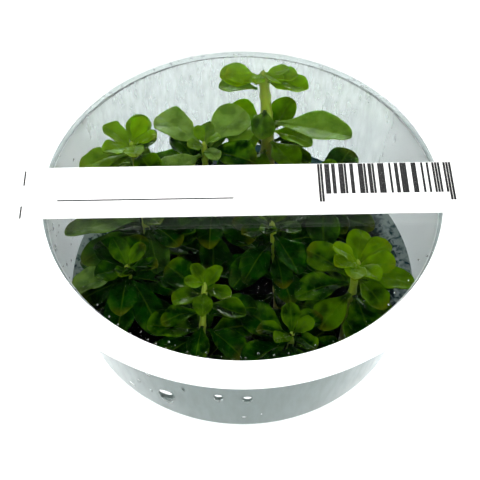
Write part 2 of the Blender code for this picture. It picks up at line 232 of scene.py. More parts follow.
# Moulded polypropylene, glossy outside and misted inside by fine drops of water. It is white and
# soft at the front and sides, where light only soaks through the mist, and almost clear at the
# back, where the water has run off.
def milky_polypropylene(cup, inside):
    material, tree, shader = new_material(
        "misted_polypropylene" if inside else "glossy_polypropylene",
        Base_Color=(*cup.plastic, 1), IOR=1.33 if inside else 1.49,
        Subsurface_Weight=1.0, Subsurface_Scale=2.0 * MM, Subsurface_Radius=(1.0, 1.0, 1.0),
    )
    place = add_node(tree, "ShaderNodeTexCoord").outputs["Object"]
    runs = add_node(tree, "ShaderNodeMapping", {"Vector": place, "Scale": (1, 1, 0.16)})
    streaks = add_node(
        tree, "ShaderNodeTexNoise",
        {"Vector": runs.outputs["Vector"], "Scale": 1 / (1.6 * MM), "Detail": 3.0},
    )
    spot = add_node(tree, "ShaderNodeSeparateXYZ", {"Vector": place})
    front = add_node(
        tree, "ShaderNodeMapRange",
        {
            "Value": spot.outputs["Y"], "From Min": 10 * MM, "From Max": 34 * MM,
            "To Min": 0.92, "To Max": 0.12,
        },
        interpolation_type="SMOOTHSTEP",
    )
    uneven = add_node(
        tree, "ShaderNodeMapRange",
        {"Value": streaks.outputs["Fac"], "From Min": 0.3, "From Max": 0.7, "To Min": -0.12, "To Max": 0.12},
    )
    mist = add_node(
        tree, "ShaderNodeMath", {0: front.outputs["Result"], 1: uneven.outputs["Result"]},
        operation="ADD", use_clamp=True,
    )

    # Outside, the corner at the foot is painted plain white and opaque: a painted highlight along the cup's
    # bottom edge.
    above_painted_foot_highlight = add_node(
        tree, "ShaderNodeMapRange",
        {
            "Value": spot.outputs["Z"], "From Min": cup.corner, "From Max": cup.corner + 0.5 * MM,
            "To Min": 1.0 if inside else 0.0,
        },
    )
    thin = add_node(
        tree, "ShaderNodeMapRange",
        {"Value": mist.outputs[0], "To Min": 0.96, "To Max": 0.15 if inside else 0.55},
    )
    see_through = add_node(
        tree, "ShaderNodeMath", {0: thin.outputs["Result"], 1: above_painted_foot_highlight.outputs["Result"]},
        operation="MULTIPLY",
    )
    rough = add_node(
        tree, "ShaderNodeMapRange",
        {"Value": mist.outputs[0], "To Min": 0.10, "To Max": 0.5 if inside else 0.14},
    )
    bump = add_node(
        tree, "ShaderNodeBump",
        {"Height": streaks.outputs["Fac"], "Strength": 0.2 if inside else 0.03, "Distance": 0.05 * MM},
    )
    feed(tree, shader, {
        "Transmission Weight": see_through.outputs[0],
        "Roughness": rough.outputs["Result"],
        "Normal": bump.outputs["Normal"],
    })

    # From the front, the outside is painted a grey tint: a painted shade that stands for the dark gel seen
    # through it.
    if not inside:
        facing = add_node(
            tree, "ShaderNodeMapRange",
            {
                "Value": spot.outputs["Y"], "From Min": -41 * MM, "From Max": -18 * MM,
                "To Min": 1.0, "To Max": 0.3,
            },
            interpolation_type="SMOOTHSTEP",
        )
        painted_front_shade_mask = add_node(
            tree, "ShaderNodeMath", {0: facing.outputs["Result"], 1: above_painted_foot_highlight.outputs["Result"]},
            operation="MULTIPLY",
        )
        tone = add_node(
            tree, "ShaderNodeMix",
            {FACTOR: painted_front_shade_mask.outputs[0], FROM: (*cup.plastic, 1), TO: (*cup.painted_front_shade, 1)}, data_type="RGBA",
        )
        feed(tree, shader, {"Base Color": tone.outputs[RESULT]})
    return material


# Calendered clear PET sheet: flat, glossy and free of colour.
def clear_pet(cup):
    return new_material(
        "clear_pet", Base_Color=(*cup.sheet, 1), IOR=1.49, Roughness=0.02, Transmission_Weight=1.0
    )[0]


# Moulded white polypropylene, opaque: satin, with the faint orange peel of a moulded face.
def white_polypropylene(cup):
    material, tree, shader = new_material(
        "white_polypropylene", Base_Color=(*cup.ring, 1), IOR=1.49, Roughness=0.34
    )
    place = add_node(tree, "ShaderNodeTexCoord").outputs["Object"]
    peel = add_node(
        tree, "ShaderNodeTexNoise",
        {"Vector": place, "Scale": 1 / (1.1 * MM), "Detail": 2.0},
    )
    bump = add_node(
        tree, "ShaderNodeBump", {"Height": peel.outputs["Fac"], "Strength": 0.15, "Distance": 0.03 * MM}
    )
    feed(tree, shader, {"Normal": bump.outputs["Normal"]})
    return material


# Coated label paper: matt white, with a faint tooth of its fibres.
def label_paper(strip):
    material, tree, shader = new_material("label_paper", Base_Color=(*strip.paper, 1), Roughness=0.62)
    place = add_node(tree, "ShaderNodeTexCoord").outputs["Object"]
    fibre = add_node(
        tree, "ShaderNodeTexNoise",
        {"Vector": place, "Scale": 1 / (0.35 * MM), "Detail": 5.0},
    )
    bump = add_node(
        tree, "ShaderNodeBump", {"Height": fibre.outputs["Fac"], "Strength": 0.25, "Distance": 0.01 * MM}
    )
    feed(tree, shader, {"Normal": bump.outputs["Normal"]})
    return material


# Thermal print: black and dull, broken up a little where the head missed a dot.
def thermal_print(strip):
    material, tree, shader = new_material(
        "thermal_print", Base_Color=(*strip.ink, 1), Roughness=0.6, Specular_IOR_Level=0.15
    )
    place = add_node(tree, "ShaderNodeTexCoord").outputs["Object"]
    dots = add_node(
        tree, "ShaderNodeTexNoise",
        {"Vector": place, "Scale": 1 / (0.2 * MM), "Detail": 1.0},
    )
    wear = add_node(
        tree, "ShaderNodeMapRange",
        {"Value": dots.outputs["Fac"], "From Min": 0.62, "From Max": 0.74, "To Min": 0.0, "To Max": 0.12},
    )
    tone = add_node(
        tree, "ShaderNodeMix",
        {FACTOR: wear.outputs["Result"], FROM: (*strip.ink, 1), TO: (*strip.paper, 1)}, data_type="RGBA",
    )
    feed(tree, shader, {"Base Color": tone.outputs[RESULT]})
    return material


# Set agar gel, almost black, wet and glossy, with slightly dull patches, and streaks of water that it
# has squeezed out along the wall, painted pale as a painted sheen on the wet.
def charcoal_gel(cup):
    material, tree, shader = new_material("charcoal_gel", Base_Color=(*cup.gel, 1), IOR=1.34)
    place = add_node(tree, "ShaderNodeTexCoord").outputs["Object"]
    patches = add_node(
        tree, "ShaderNodeTexNoise",
        {"Vector": place, "Scale": 1 / (7 * MM), "Detail": 3.0},
    )
    rough = add_node(
        tree, "ShaderNodeMapRange",
        {"Value": patches.outputs["Fac"], "From Min": 0.3, "From Max": 0.7, "To Min": 0.05, "To Max": 0.16},
    )
    tone = add_node(
        tree, "ShaderNodeMix",
        {FACTOR: patches.outputs["Fac"], FROM: (*cup.gel, 1), TO: linear("#081519")}, data_type="RGBA",
    )
    bump = add_node(
        tree, "ShaderNodeBump", {"Height": patches.outputs["Fac"], "Strength": 0.25, "Distance": 0.3 * MM}
    )

    # Near the wall the gel is painted slate grey, a painted light where light comes in through the wall,
    # and water lies on it in ripples, painted pale as a painted sheen, at the left and at the right
    # towards the back.
    flat = add_node(tree, "ShaderNodeMapping", {"Vector": place, "Scale": (1, 1, 0)})
    radius = add_node(tree, "ShaderNodeVectorMath", {0: flat.outputs["Vector"]}, operation="LENGTH")
    rim = add_node(
        tree, "ShaderNodeMapRange",
        {"Value": radius.outputs["Value"], "From Min": 32.5 * MM, "From Max": 38 * MM, "To Max": 0.30},
    )
    ripples = add_node(
        tree, "ShaderNodeTexNoise",
        {"Vector": place, "Scale": 1 / (1.5 * MM), "Detail": 2.0, "Distortion": 0.8},
    )
    wet = add_node(
        tree, "ShaderNodeMath", {0: ripples.outputs["Fac"], 1: rim.outputs["Result"]}, operation="ADD"
    )
    spot = add_node(tree, "ShaderNodeSeparateXYZ", {"Vector": place})
    left = add_node(
        tree, "ShaderNodeMapRange",
        {
            "Value": spot.outputs["X"], "From Min": -32 * MM, "From Max": -20 * MM,
            "To Min": 0.8, "To Max": 0.0,
        },
    )
    right = add_node(
        tree, "ShaderNodeMapRange",
        {"Value": spot.outputs["X"], "From Min": 26 * MM, "From Max": 34 * MM, "To Max": 0.6},
    )
    back = add_node(
        tree, "ShaderNodeMapRange", {"Value": spot.outputs["Y"], "From Min": -22 * MM, "From Max": -12 * MM}
    )
    right_back = add_node(
        tree, "ShaderNodeMath", {0: right.outputs["Result"], 1: back.outputs["Result"]}, operation="MULTIPLY"
    )
    sides = add_node(
        tree, "ShaderNodeMath", {0: left.outputs["Result"], 1: right_back.outputs[0]}, operation="MAXIMUM"
    )
    film = add_node(
        tree, "ShaderNodeMapRange",
        {"Value": wet.outputs[0], "From Min": 0.60, "From Max": 0.80, "To Max": sides.outputs[0]},
    )
    painted_wall_light_tone = add_node(
        tree, "ShaderNodeMix",
        {FACTOR: rim.outputs["Result"], FROM: tone.outputs[RESULT], TO: linear("#5F8A96")}, data_type="RGBA",
    )
    pale = add_node(
        tree, "ShaderNodeMix",
        {FACTOR: film.outputs["Result"], FROM: painted_wall_light_tone.outputs[RESULT], TO: linear("#C9D6D3")},
        data_type="RGBA",
    )
    feed(tree, shader, {
        "Base Color": pale.outputs[RESULT],
        "Roughness": rough.outputs["Result"],
        "Normal": bump.outputs["Normal"],
    })
    return material


# Water: clear and colourless, with a sharp outline where it bends the light.
def water():
    return new_material(
        "water", Base_Color=(1, 1, 1, 1), IOR=1.333, Roughness=0.0, Transmission_Weight=1.0
    )[0]


# Water in thick drops on a wall, with painted light by the way each face points: a painted highlight,
# white and opaque, where it gathers light in a white rim at a drop's upper edge, and a painted shade,
# grey, below, where it hides the bright plastic behind it.
def wall_water():
    material, tree, shader = new_material("wall_water", IOR=1.333, Roughness=0.0)
    facing = add_node(tree, "ShaderNodeNewGeometry")
    parts = add_node(tree, "ShaderNodeSeparateXYZ", {"Vector": facing.outputs["Normal"]})
    # Painted highlight on the faces that point up, painted shade on the rest.
    painted_highlight = add_node(
        tree, "ShaderNodeMapRange", {"Value": parts.outputs["Z"], "From Min": 0.5, "From Max": 0.64}
    )
    tone = add_node(
        tree, "ShaderNodeMix",
        {FACTOR: painted_highlight.outputs["Result"], FROM: linear("#AEBBB8"), TO: linear("#FFFFFF")}, data_type="RGBA",
    )
    clear = add_node(
        tree, "ShaderNodeMapRange", {"Value": painted_highlight.outputs["Result"], "To Min": 1.0, "To Max": 0.0}
    )
    feed(tree, shader, {
        "Base Color": tone.outputs[RESULT],
        "Transmission Weight": clear.outputs["Result"],
    })
    return material


# A leaf's skin: waxy, wet and glossy over green flesh. The UV map holds the place along the blade
# and the distance from its midrib, and the growth attribute holds chance, youth with painted light,
# and damp.
def leaf_skin(plant):
    material, tree, shader = new_material(
        "leaf_skin", IOR=1.42, Specular_IOR_Level=0.14, Specular_Tint=linear("#BCE05A"),
        Subsurface_Weight=0.25, Subsurface_Scale=1.0 * MM, Subsurface_Radius=(0.5, 1.0, 0.05),
    )
    blade = add_node(tree, "ShaderNodeUVMap", uv_map="blade")
    spread = add_node(tree, "ShaderNodeSeparateXYZ", {"Vector": blade.outputs["UV"]})
    along = spread.outputs["X"]
    aside = spread.outputs["Y"]
    growth = add_node(tree, "ShaderNodeAttribute", attribute_name="growth", attribute_type="GEOMETRY")
    traits = add_node(tree, "ShaderNodeSeparateColor", {"Color": growth.outputs["Color"]})
    place = add_node(tree, "ShaderNodeTexCoord").outputs["Object"]
    spot = add_node(tree, "ShaderNodeSeparateXYZ", {"Vector": place})

    # Side veins, which sweep forward from the midrib, hardly paler than the flesh.
    veins = SIDE_VEINS * 2 * pi
    bends = add_node(
        tree, "ShaderNodeTexNoise",
        {"Vector": place, "Scale": 1 / (2.0 * MM), "Detail": 2.0},
    )
    spaced = add_node(tree, "ShaderNodeMath", {0: along, 1: veins}, operation="MULTIPLY")
    swept = add_node(
        tree, "ShaderNodeMath", {0: aside, 1: -0.22 * veins, 2: spaced.outputs[0]}, operation="MULTIPLY_ADD"
    )
    crooked = add_node(
        tree, "ShaderNodeMath", {0: bends.outputs["Fac"], 1: 0.10 * veins, 2: swept.outputs[0]},
        operation="MULTIPLY_ADD",
    )
    wave = add_node(tree, "ShaderNodeMath", {0: crooked.outputs[0]}, operation="COSINE")
    side_vein = add_node(
        tree, "ShaderNodeMapRange", {"Value": wave.outputs[0], "From Min": 0.86, "To Max": 0.05}
    )
    midrib = add_node(
        tree, "ShaderNodeMapRange",
        {"Value": aside, "From Min": 0.02, "From Max": 0.09, "To Min": 0.18, "To Max": 0.0},
    )
    ribs = add_node(
        tree, "ShaderNodeMath", {0: side_vein.outputs["Result"], 1: midrib.outputs["Result"]},
        operation="MAXIMUM",
    )

    # Flesh: soft clouds of deep green in mature green.
    clouds = add_node(
        tree, "ShaderNodeTexNoise",
        {"Vector": place, "Scale": 1 / (3.2 * MM), "Detail": 2.0},
    )
    clear = add_node(
        tree, "ShaderNodeMapRange", {"Value": clouds.outputs["Fac"], "From Min": 0.36, "From Max": 0.64}
    )
    flesh = add_node(
        tree, "ShaderNodeMix",
        {FACTOR: clear.outputs["Result"], FROM: (*plant.deep, 1), TO: (*plant.mature, 1)}, data_type="RGBA",
    )

    # Youth with painted light: strongest towards the margin, and weaker in the deep green clouds.
    margin = add_node(
        tree, "ShaderNodeMapRange",
        {"Value": aside, "From Min": 0.3, "From Max": 1.0, "To Min": -0.08, "To Max": 0.06},
    )
    spared = add_node(
        tree, "ShaderNodeMapRange", {"Value": clear.outputs["Result"], "To Min": -0.24, "To Max": 0.03}
    )
    uneven = add_node(
        tree, "ShaderNodeMath", {0: margin.outputs["Result"], 1: spared.outputs["Result"]}, operation="ADD"
    )
    fresh = add_node(
        tree, "ShaderNodeMath", {0: traits.outputs["Green"], 1: uneven.outputs[0]},
        operation="ADD", use_clamp=True,
    )
    grown = add_node(
        tree, "ShaderNodeMix",
        {FACTOR: fresh.outputs[0], FROM: flesh.outputs[RESULT], TO: (*plant.young, 1)}, data_type="RGBA",
    )

    # Age and painted shade: leaves low on the stem turn almost black green, a painted shade deeper than the
    # darker green of older leaves.
    low = add_node(
        tree, "ShaderNodeMapRange",
        {
            "Value": spot.outputs["Z"], "From Min": GEL_HIGH.z + 2 * MM, "From Max": GEL_HIGH.z + 14 * MM,
            "To Min": 0.96, "To Max": 0.0,
        },
    )
    shaded_low = add_node(
        tree, "ShaderNodeMix",
        {FACTOR: low.outputs["Result"], FROM: grown.outputs[RESULT], TO: (*plant.painted_low_shade, 1)}, data_type="RGBA",
    )

    # Some tips have turned yellow brown.
    end = add_node(tree, "ShaderNodeMapRange", {"Value": along, "From Min": 0.8})
    some = add_node(
        tree, "ShaderNodeMapRange",
        {"Value": traits.outputs["Red"], "From Min": 0.45, "From Max": 0.9, "To Max": 0.4},
    )
    turning = add_node(
        tree, "ShaderNodeMath", {0: end.outputs["Result"], 1: some.outputs["Result"]}, operation="MULTIPLY"
    )
    tipped = add_node(
        tree, "ShaderNodeMix",
        {FACTOR: turning.outputs[0], FROM: shaded_low.outputs[RESULT], TO: (*plant.tip, 1)}, data_type="RGBA",
    )
    veined = add_node(
        tree, "ShaderNodeMix",
        {FACTOR: ribs.outputs[0], FROM: tipped.outputs[RESULT], TO: (*plant.rib, 1)}, data_type="RGBA",
    )

    # A film of damp that greys the leaf behind it.
    broken = add_node(
        tree, "ShaderNodeMapRange",
        {"Value": clouds.outputs["Fac"], "From Min": 0.35, "From Max": 0.6, "To Min": 0.4, "To Max": 1.0},
    )
    film = add_node(
        tree, "ShaderNodeMath", {0: traits.outputs["Blue"], 1: broken.outputs["Result"]},
        operation="MULTIPLY", use_clamp=True,
    )
    tone = add_node(
        tree, "ShaderNodeMix",
        {FACTOR: film.outputs[0], FROM: veined.outputs[RESULT], TO: (*plant.damp, 1)}, data_type="RGBA",
    )
    rough = add_node(
        tree, "ShaderNodeMapRange",
        {"Value": bends.outputs["Fac"], "From Min": 0.3, "From Max": 0.7, "To Min": 0.16, "To Max": 0.36},
    )

    # Cells in the skin, and the veins a little raised.
    cells = add_node(
        tree, "ShaderNodeTexVoronoi", {"Vector": place, "Scale": 1 / (0.35 * MM)}
    )
    relief = add_node(
        tree, "ShaderNodeMath", {0: cells.outputs["Distance"], 1: 0.6, 2: ribs.outputs[0]},
        operation="MULTIPLY_ADD",
    )
    bump = add_node(
        tree, "ShaderNodeBump", {"Height": relief.outputs[0], "Strength": 0.3, "Distance": 0.06 * MM}
    )
    feed(tree, shader, {
        "Base Color": tone.outputs[RESULT],
        "Roughness": rough.outputs["Result"],
        "Normal": bump.outputs["Normal"],
    })
    return material


# A stem's skin: smooth and olive, brown towards its foot, with fine streaks along it.
def stem_skin(plant):
    material, tree, shader = new_material(
        "stem_skin", IOR=1.42, Roughness=0.38,
        Subsurface_Weight=0.12, Subsurface_Scale=1.0 * MM, Subsurface_Radius=(0.8, 0.9, 0.2),
    )
    place = add_node(tree, "ShaderNodeTexCoord").outputs["Object"]
    height = add_node(tree, "ShaderNodeSeparateXYZ", {"Vector": place})
    rise = add_node(
        tree, "ShaderNodeMapRange",
        {"Value": height.outputs["Z"], "From Min": GEL_HIGH.z, "From Max": GEL_HIGH.z + 16 * MM},
    )
    streaks = add_node(
        tree, "ShaderNodeTexNoise",
        {"Vector": place, "Scale": 1 / (0.8 * MM), "Detail": 3.0},
    )
    tone = add_node(
        tree, "ShaderNodeMix",
        {FACTOR: rise.outputs["Result"], FROM: (*plant.foot, 1), TO: (*plant.stem, 1)}, data_type="RGBA",
    )
    streaked = add_node(
        tree, "ShaderNodeMix",
        {FACTOR: 0.35, FROM: tone.outputs[RESULT], TO: streaks.outputs["Color"]},
        data_type="RGBA", blend_type="SOFT_LIGHT",
    )
    bump = add_node(
        tree, "ShaderNodeBump", {"Height": streaks.outputs["Fac"], "Strength": 0.3, "Distance": 0.08 * MM}
    )
    feed(tree, shader, {
        "Base Color": streaked.outputs[RESULT],
        "Normal": bump.outputs["Normal"],
    })
    return material


# A mesh object from points in metres and faces, shaded smooth, one material for each face group.
def add_mesh(name, points, faces, *materials):
    mesh = bpy.data.meshes.new(name)
    mesh.from_pydata(points, [], faces)
    for material in materials:
        mesh.materials.append(material)
    mesh.shade_smooth()
    mesh.update()
    piece = bpy.data.objects.new(name, mesh)
    bpy.context.scene.collection.objects.link(piece)
    return piece


# Puts a piece in place of solids: sets it under the root and hides the solids.
def settle(piece, slot, *nodes):
    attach(piece, "root")
    if nodes:
        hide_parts(*nodes)


# Faces between two rings with equal counts of points, by the number of each ring's first point.
def band_faces(low, high, around):
    return [
        (low + side, low + (side + 1) % around, high + (side + 1) % around, high + side)
        for side in range(around)
    ]


# Faces from a ring of points to a single one.
def fan_faces(low, pole, around):
    return [(low + side, low + (side + 1) % around, pole) for side in range(around)]


# Faces of a tube of rings with equal counts of points, closed at both ends.
def tube_faces(rings, around, first=0):
    faces = [tuple(first + side for side in reversed(range(around)))]
    for ring in range(rings - 1):
        low = first + ring * around
        faces += band_faces(low, low + around, around)
    last = first + (rings - 1) * around
    faces.append(tuple(range(last, last + around)))
    return faces


# Points of an arc in a profile, by its centre, radius and two angles in degrees.
def arc(centre, radius, start, end, steps=5):
    angles = [radians(start + (end - start) * i / steps) for i in range(steps + 1)]
    return [(centre[0] + radius * cos(a), centre[1] + radius * sin(a)) for a in angles]


# A solid turned about Z from a profile of (radius, height) points, anticlockwise seen from -Y.
# A profile that starts and ends on the axis is closed there by a point each. From its point
# number change on, its faces take the second of two materials.
def turned(name, profile, materials, segments=192, change=None):
    solid = profile[0][0] == 0
    rings = profile[1:-1] if solid else profile
    points = []
    for radius, height in rings:
        for side in range(segments):
            angle = 2 * pi * side / segments
            points.append((radius * cos(angle), radius * sin(angle), height))
    faces = []
    for ring in range(len(rings) - 1 if solid else len(rings)):
        faces += band_faces(ring * segments, (ring + 1) % len(rings) * segments, segments)
    if solid:
        for (_, height), ring in ((profile[0], 0), (profile[-1], len(rings) - 1)):
            fan = fan_faces(ring * segments, len(points), segments)
            faces += fan if ring else [(after, side, pole) for side, after, pole in fan]
            points.append((0, 0, height))
    piece = add_mesh(name, points, faces, *materials)
    piece.data.set_sharp_from_angle(angle=radians(35))

    # The last two fans close the profile's ends, and the one at its start keeps the first material.
    if change:
        for face in piece.data.polygons[(change - 1) * segments:]:
            face.material_index = 1
        for face in piece.data.polygons[-2 * segments:-segments]:
            face.material_index = 0
    return piece


# Radius of the cup's inner wall at a height.
def inner_radius(cup, height):
    rise = (height - cup.corner) / (CUP_TOP - cup.corner)
    return cup.base_radius - cup.wall + (cup.mouth_radius - cup.base_radius) * rise


# The cup: floor, rounded corner, tapered wall and flange in one thin shell.
def add_cup(cup):
    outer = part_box("cup")[1].x
    inner_corner = cup.corner - cup.wall
    low = CUP_TOP - cup.flange
    eased = cup.easing
    profile = [(0, 0)]
    profile += arc((cup.base_radius - cup.corner, cup.corner), cup.corner, -90, 0, 8)
    profile += arc((cup.mouth_radius + eased, low - eased), eased, 180, 90)
    profile += arc((outer - eased, low + eased), eased, -90, 0)
    profile += arc((outer - eased, CUP_TOP - eased), eased, 0, 90)
    mouth = len(profile)
    profile += arc((cup.mouth_radius - cup.wall + eased, CUP_TOP - eased), eased, 90, 180)
    profile += arc(
        (cup.base_radius - cup.wall - inner_corner, cup.floor + inner_corner), inner_corner, 0, -90, 8
    )
    profile.append((0, cup.floor))
    plastics = [milky_polypropylene(cup, inside) for inside in (False, True)]
    settle(turned("cup_shell", profile, plastics, change=mouth), "milky_plastic", "cup")


# The clear sheet that lies on the flange.
def add_sheet(cup):
    radius = SHEET_HIGH.x
    eased = (SHEET_HIGH.z - SHEET_LOW.z) / 4
    profile = [(0, SHEET_LOW.z)]
    profile += arc((radius - eased, SHEET_LOW.z + eased), eased, -90, 0)
    profile += arc((radius - eased, SHEET_HIGH.z - eased), eased, 0, 90)
    profile.append((0, SHEET_HIGH.z))
    settle(turned("clear_sheet", profile, [clear_pet(cup)]), "clear_sheet", "lid_window")


# The white ring, with every edge eased.
def add_ring(cup):
    outer = RING_HIGH.x
    low = RING_LOW.z
    high = RING_HIGH.z
    eased = cup.easing
    profile = arc((outer - eased, low + eased), eased, -90, 0)
    profile += arc((outer - eased, high - eased), eased, 0, 90)
    profile += arc((cup.ring_inner + eased, high - eased), eased, 90, 180)
    profile += arc((cup.ring_inner + eased, low + eased), eased, 180, 270)
    settle(turned("white_ring", profile, [white_polypropylene(cup)]), "white_plastic", "lid_rim")


# The dark gel: its edge climbs the wall a little, and its middle lies lower in soft swells.
def add_gel(cup):
    edge = inner_radius(cup, GEL_HIGH.z) - GEL_GAP
    foot = cup.base_radius - cup.wall - GEL_GAP
    bevel = cup.corner - cup.wall
    profile = [(0, GEL_LOW.z), (foot - bevel, GEL_LOW.z), (foot, GEL_LOW.z + bevel), (edge, GEL_HIGH.z)]
    climb = 2.2 * MM
    steps = 40
    for step in range(steps):
        radius = (edge - 0.1 * MM) * (1 - step / steps)
        profile.append((radius, GEL_HIGH.z - cup.gel_dip * (1 - exp((radius - edge) / climb))))
    profile.append((0, GEL_HIGH.z - cup.gel_dip))
    gel = turned("gel_bed", profile, [charcoal_gel(cup)], 128)
    swell = 0.14 * MM
    swell_length = 6 * MM
    for vertex in gel.data.vertices:
        flat = min(1, (edge - hypot(vertex.co.x, vertex.co.y)) / climb)
        if vertex.co.z > GEL_HIGH.z - 1.5 * cup.gel_dip and flat > 0:
            vertex.co.z += swell * flat * noise.noise(vertex.co / swell_length)
    settle(gel, "dark_gel", "growing_medium")


# Six faces of a flat box in the strip's own axes, by its middle, size and heights.
def strip_box(strip, x, y, wide, deep, low, high, points, faces):
    first = len(points)
    turn = Quaternion((0, 0, 1), strip.turn)
    middle = Vector((0, -strip.offset, 0))
    for height in (low, high):
        for side, end in ((-1, -1), (1, -1), (1, 1), (-1, 1)):
            points.append(middle + turn @ Vector((x + side * wide / 2, y + end * deep / 2, height)))
    for face in ((3, 2, 1, 0), (4, 5, 6, 7), (0, 1, 5, 4), (1, 2, 6, 5), (2, 3, 7, 6), (3, 0, 4, 7)):
        faces.append(tuple(first + corner for corner in face))


# The bars on the strip, in mm: their left end from its middle, their gap to its upper edge, and how
# deep they and their framing pairs are. All of them and their gaps are as wide as BARS_TOTAL of the
# narrowest.
BARS_LEFT = 16.9
BARS_TOP_GAP = 0.1
BARS_DEEP = 8.6
FRAME_DEEP = 10.8
BARS_TOTAL = 95

# The ruled line and the two ticks at the strip's left end: the middle, width and depth of each, in
# mm from the strip's own middle.
RULED_MARKS = (
    (-21.2, -2.3, 38.5, 0.36),
    (-48.1, 4.2, 0.35, 4.2),
    (-48.1, -5.4, 0.35, 3.4),
)


# Widths of bars and gaps by turns, in modules, drawn by chance within two framing pairs.
def bar_widths():
    chance = Random(BAR_SEED)
    room = BARS_TOTAL - 3
    widths = [1, 1, 1]
    while sum(widths) < room:
        widths.append(chance.choice((1, 1, 2, 2, 3, 4)))
    widths[-1] -= sum(widths) - room
    if widths[-1] < 1:
        widths[-2] += widths.pop() - 1
        widths.append(1)
    return widths + [1, 1, 1]


# The paper strip with its print: bars of chance widths, a ruled line to write on, and two ticks.
def add_strip(strip):
    top = STRIP_HIGH.z - strip.print_height
    points = []
    faces = []
    strip_box(strip, 0, 0, strip.length, strip.width, STRIP_LOW.z, top, points, faces)
    paper = add_mesh("label_paper", points, faces, label_paper(strip))
    paper.data.shade_flat()
    settle(paper, "white_paper", "label_strip")

    marks = []
    bars_top = strip.width / 2 - BARS_TOP_GAP * MM
    widths = bar_widths()
    at = BARS_LEFT * MM
    for number, modules in enumerate(widths):
        wide = modules * strip.module
        if number % 2 == 0:
            framing = number < 3 or number > len(widths) - 4
            deep = (FRAME_DEEP if framing else BARS_DEEP) * MM
            marks.append((at + wide / 2, bars_top - deep / 2, wide + strip.gain, deep))
        at += wide
    marks += [[size * MM for size in mark] for mark in RULED_MARKS]
    points = []
    faces = []
    for x, y, wide, deep in marks:
        strip_box(strip, x, y, wide, deep, top, STRIP_HIGH.z, points, faces)
    ink = add_mesh("label_print", points, faces, thermal_print(strip))
    ink.data.shade_flat()
    settle(ink, "white_paper")


# Rules of growth that the solids follow too. Lift and droop are in degrees.
STEM_TAPER = 0.62
STALK_SHARE = 0.16
OUTLINE_SKEW = 1.45
CROWN_LEAF_WIDTH = 0.64
CROWN_SPREAD = 0.10
CROWN_SHRINK = 0.35
CROWN_LIFT = 34
CROWN_DROOP = 24
LARGE_LEAVES = 4

# The turn in degrees from one leaf to the next up a stem, and the shares of a stem's length at
# which the joints lie where leaves stand.
NEXT_TURN = 137.5
JOINTS = (0.25, 0.45, 0.62, 0.78, 0.9)

# A shoot stands on the gel at root, bends through middle and ends at tip, in mm above its foot.
# Its crown is the rosette at the tip, from the outermost leaf in. Youth runs from 0, dark green, to
# 1, yellow green: young leaves are yellower, and it is also raised as a painted light on the backlit
# shoots at the back and lowered as a painted shade on the shaded ones in front. Damp runs from 0,
# clear, to 1, behind a film of water.
Shoot = namedtuple("Shoot", "name root middle tip radius crown youth damp")
Young = namedtuple("Young", "turn rise length")


# An even crown: how many leaves, the turn of the first, the step to the next, and the length and
# rise of the first.
def rosette(count, turn, step, length, rise):
    return tuple(
        Young(
            turn + step * index,
            rise + CROWN_LIFT * index / count,
            length * (1 - CROWN_SHRINK * index / count),
        )
        for index in range(count)
    )


SHOOTS = (
    Shoot("back", (6, 29, 0), (6, 33.5, 12.5), (5, 40, 26.8), 1.7,
          (Young(172, 26, 11.0), Young(357, 22, 11.5), Young(160, 33, 9.5), Young(350, 30, 8.5),
           Young(32, 42, 6.5), Young(215, 22, 5.5), Young(250, 30, 5.4), Young(312, 38, 6.4)),
          0.95, 0.0),
    Shoot("back_left", (-21, 15, 0), (-24, 18, 11), (-26, 20.5, 22.5), 1.0,
          rosette(6, 78, 68, 9.5, 24), 0.72, 0.15),
    Shoot("back_middle", (-8, 15, 0), (-8.5, 18, 11), (-9, 20.5, 22.5), 0.95,
          rosette(5, 300, NEXT_TURN, 6.5, 34), 0.45, 0.5),
    Shoot("left", (-18, 1, 0), (-21, 1, 11), (-22, 1, 21), 1.0,
          rosette(6, 30, NEXT_TURN, 8.5, 30), 0.12, 0.1),
    Shoot("middle", (-6, 4, 0), (-6.5, 4, 11), (-7, 3, 22), 0.95,
          rosette(6, 60, NEXT_TURN, 8.5, 28), 0.14, 0.0),
    Shoot("right_back", (15, 6, 0), (17, 7, 10), (19, 7.5, 21.5), 1.0,
          rosette(6, 20, NEXT_TURN, 9.0, 28), 0.2, 0.05),
    Shoot("centre", (8, -9, 0), (7.5, -6, 11), (6.5, -2, 21.5), 1.0,
          rosette(6, 200, NEXT_TURN, 7.5, 26), 0.14, 0.0),
    Shoot("right", (22, -18, 0), (23.5, -15.5, 11), (25, -13, 22), 1.1,
          rosette(7, 80, -45, 9.5, 18), 0.56, 0.0),
    Shoot("front_left", (-9, -28, 0), (-8.6, -24.5, 11), (-8, -19.3, 22.5), 0.85,
          rosette(6, 195, 72, 7.0, 12), 0.3, 0.0),
    Shoot("left_front", (-23, -10, 0), (-24.5, -11.5, 10), (-25, -12.5, 19.5), 1.0,
          rosette(6, 70, NEXT_TURN, 8.5, 24), 0.05, 0.0),
    Shoot("front", (9, -26, 0), (9.8, -26.5, 8), (10.5, -26.5, 15.5), 0.9,
          rosette(6, 40, NEXT_TURN, 8.0, 18), 0.16, 0.0),
)

# Clear room that leaves keep to the wall, to the lid and over the gel.
WALL_ROOM = 0.3 * MM
LID_ROOM = 0.2 * MM
GEL_ROOM = 0.4 * MM

# Places across a leaf, from the midrib to the margin, and rings along it.
ACROSS = (0.06, 0.15, 0.32, 0.52, 0.72, 0.88, 1.0)
ALONG = 24

# A leaf's blade: its line bends from base by way of bend to tip.
Blade = namedtuple("Blade", "base bend tip side width youth damp seed")


# A point of a blade's line, and the line's direction there, at a share of its length.
def blade_point(blade, share):
    near = blade.base.lerp(blade.bend, share)
    far = blade.bend.lerp(blade.tip, share)
    return near.lerp(far, share)


def blade_direction(blade, share):
    return (blade.bend - blade.base).lerp(blade.tip - blade.bend, share).normalized()


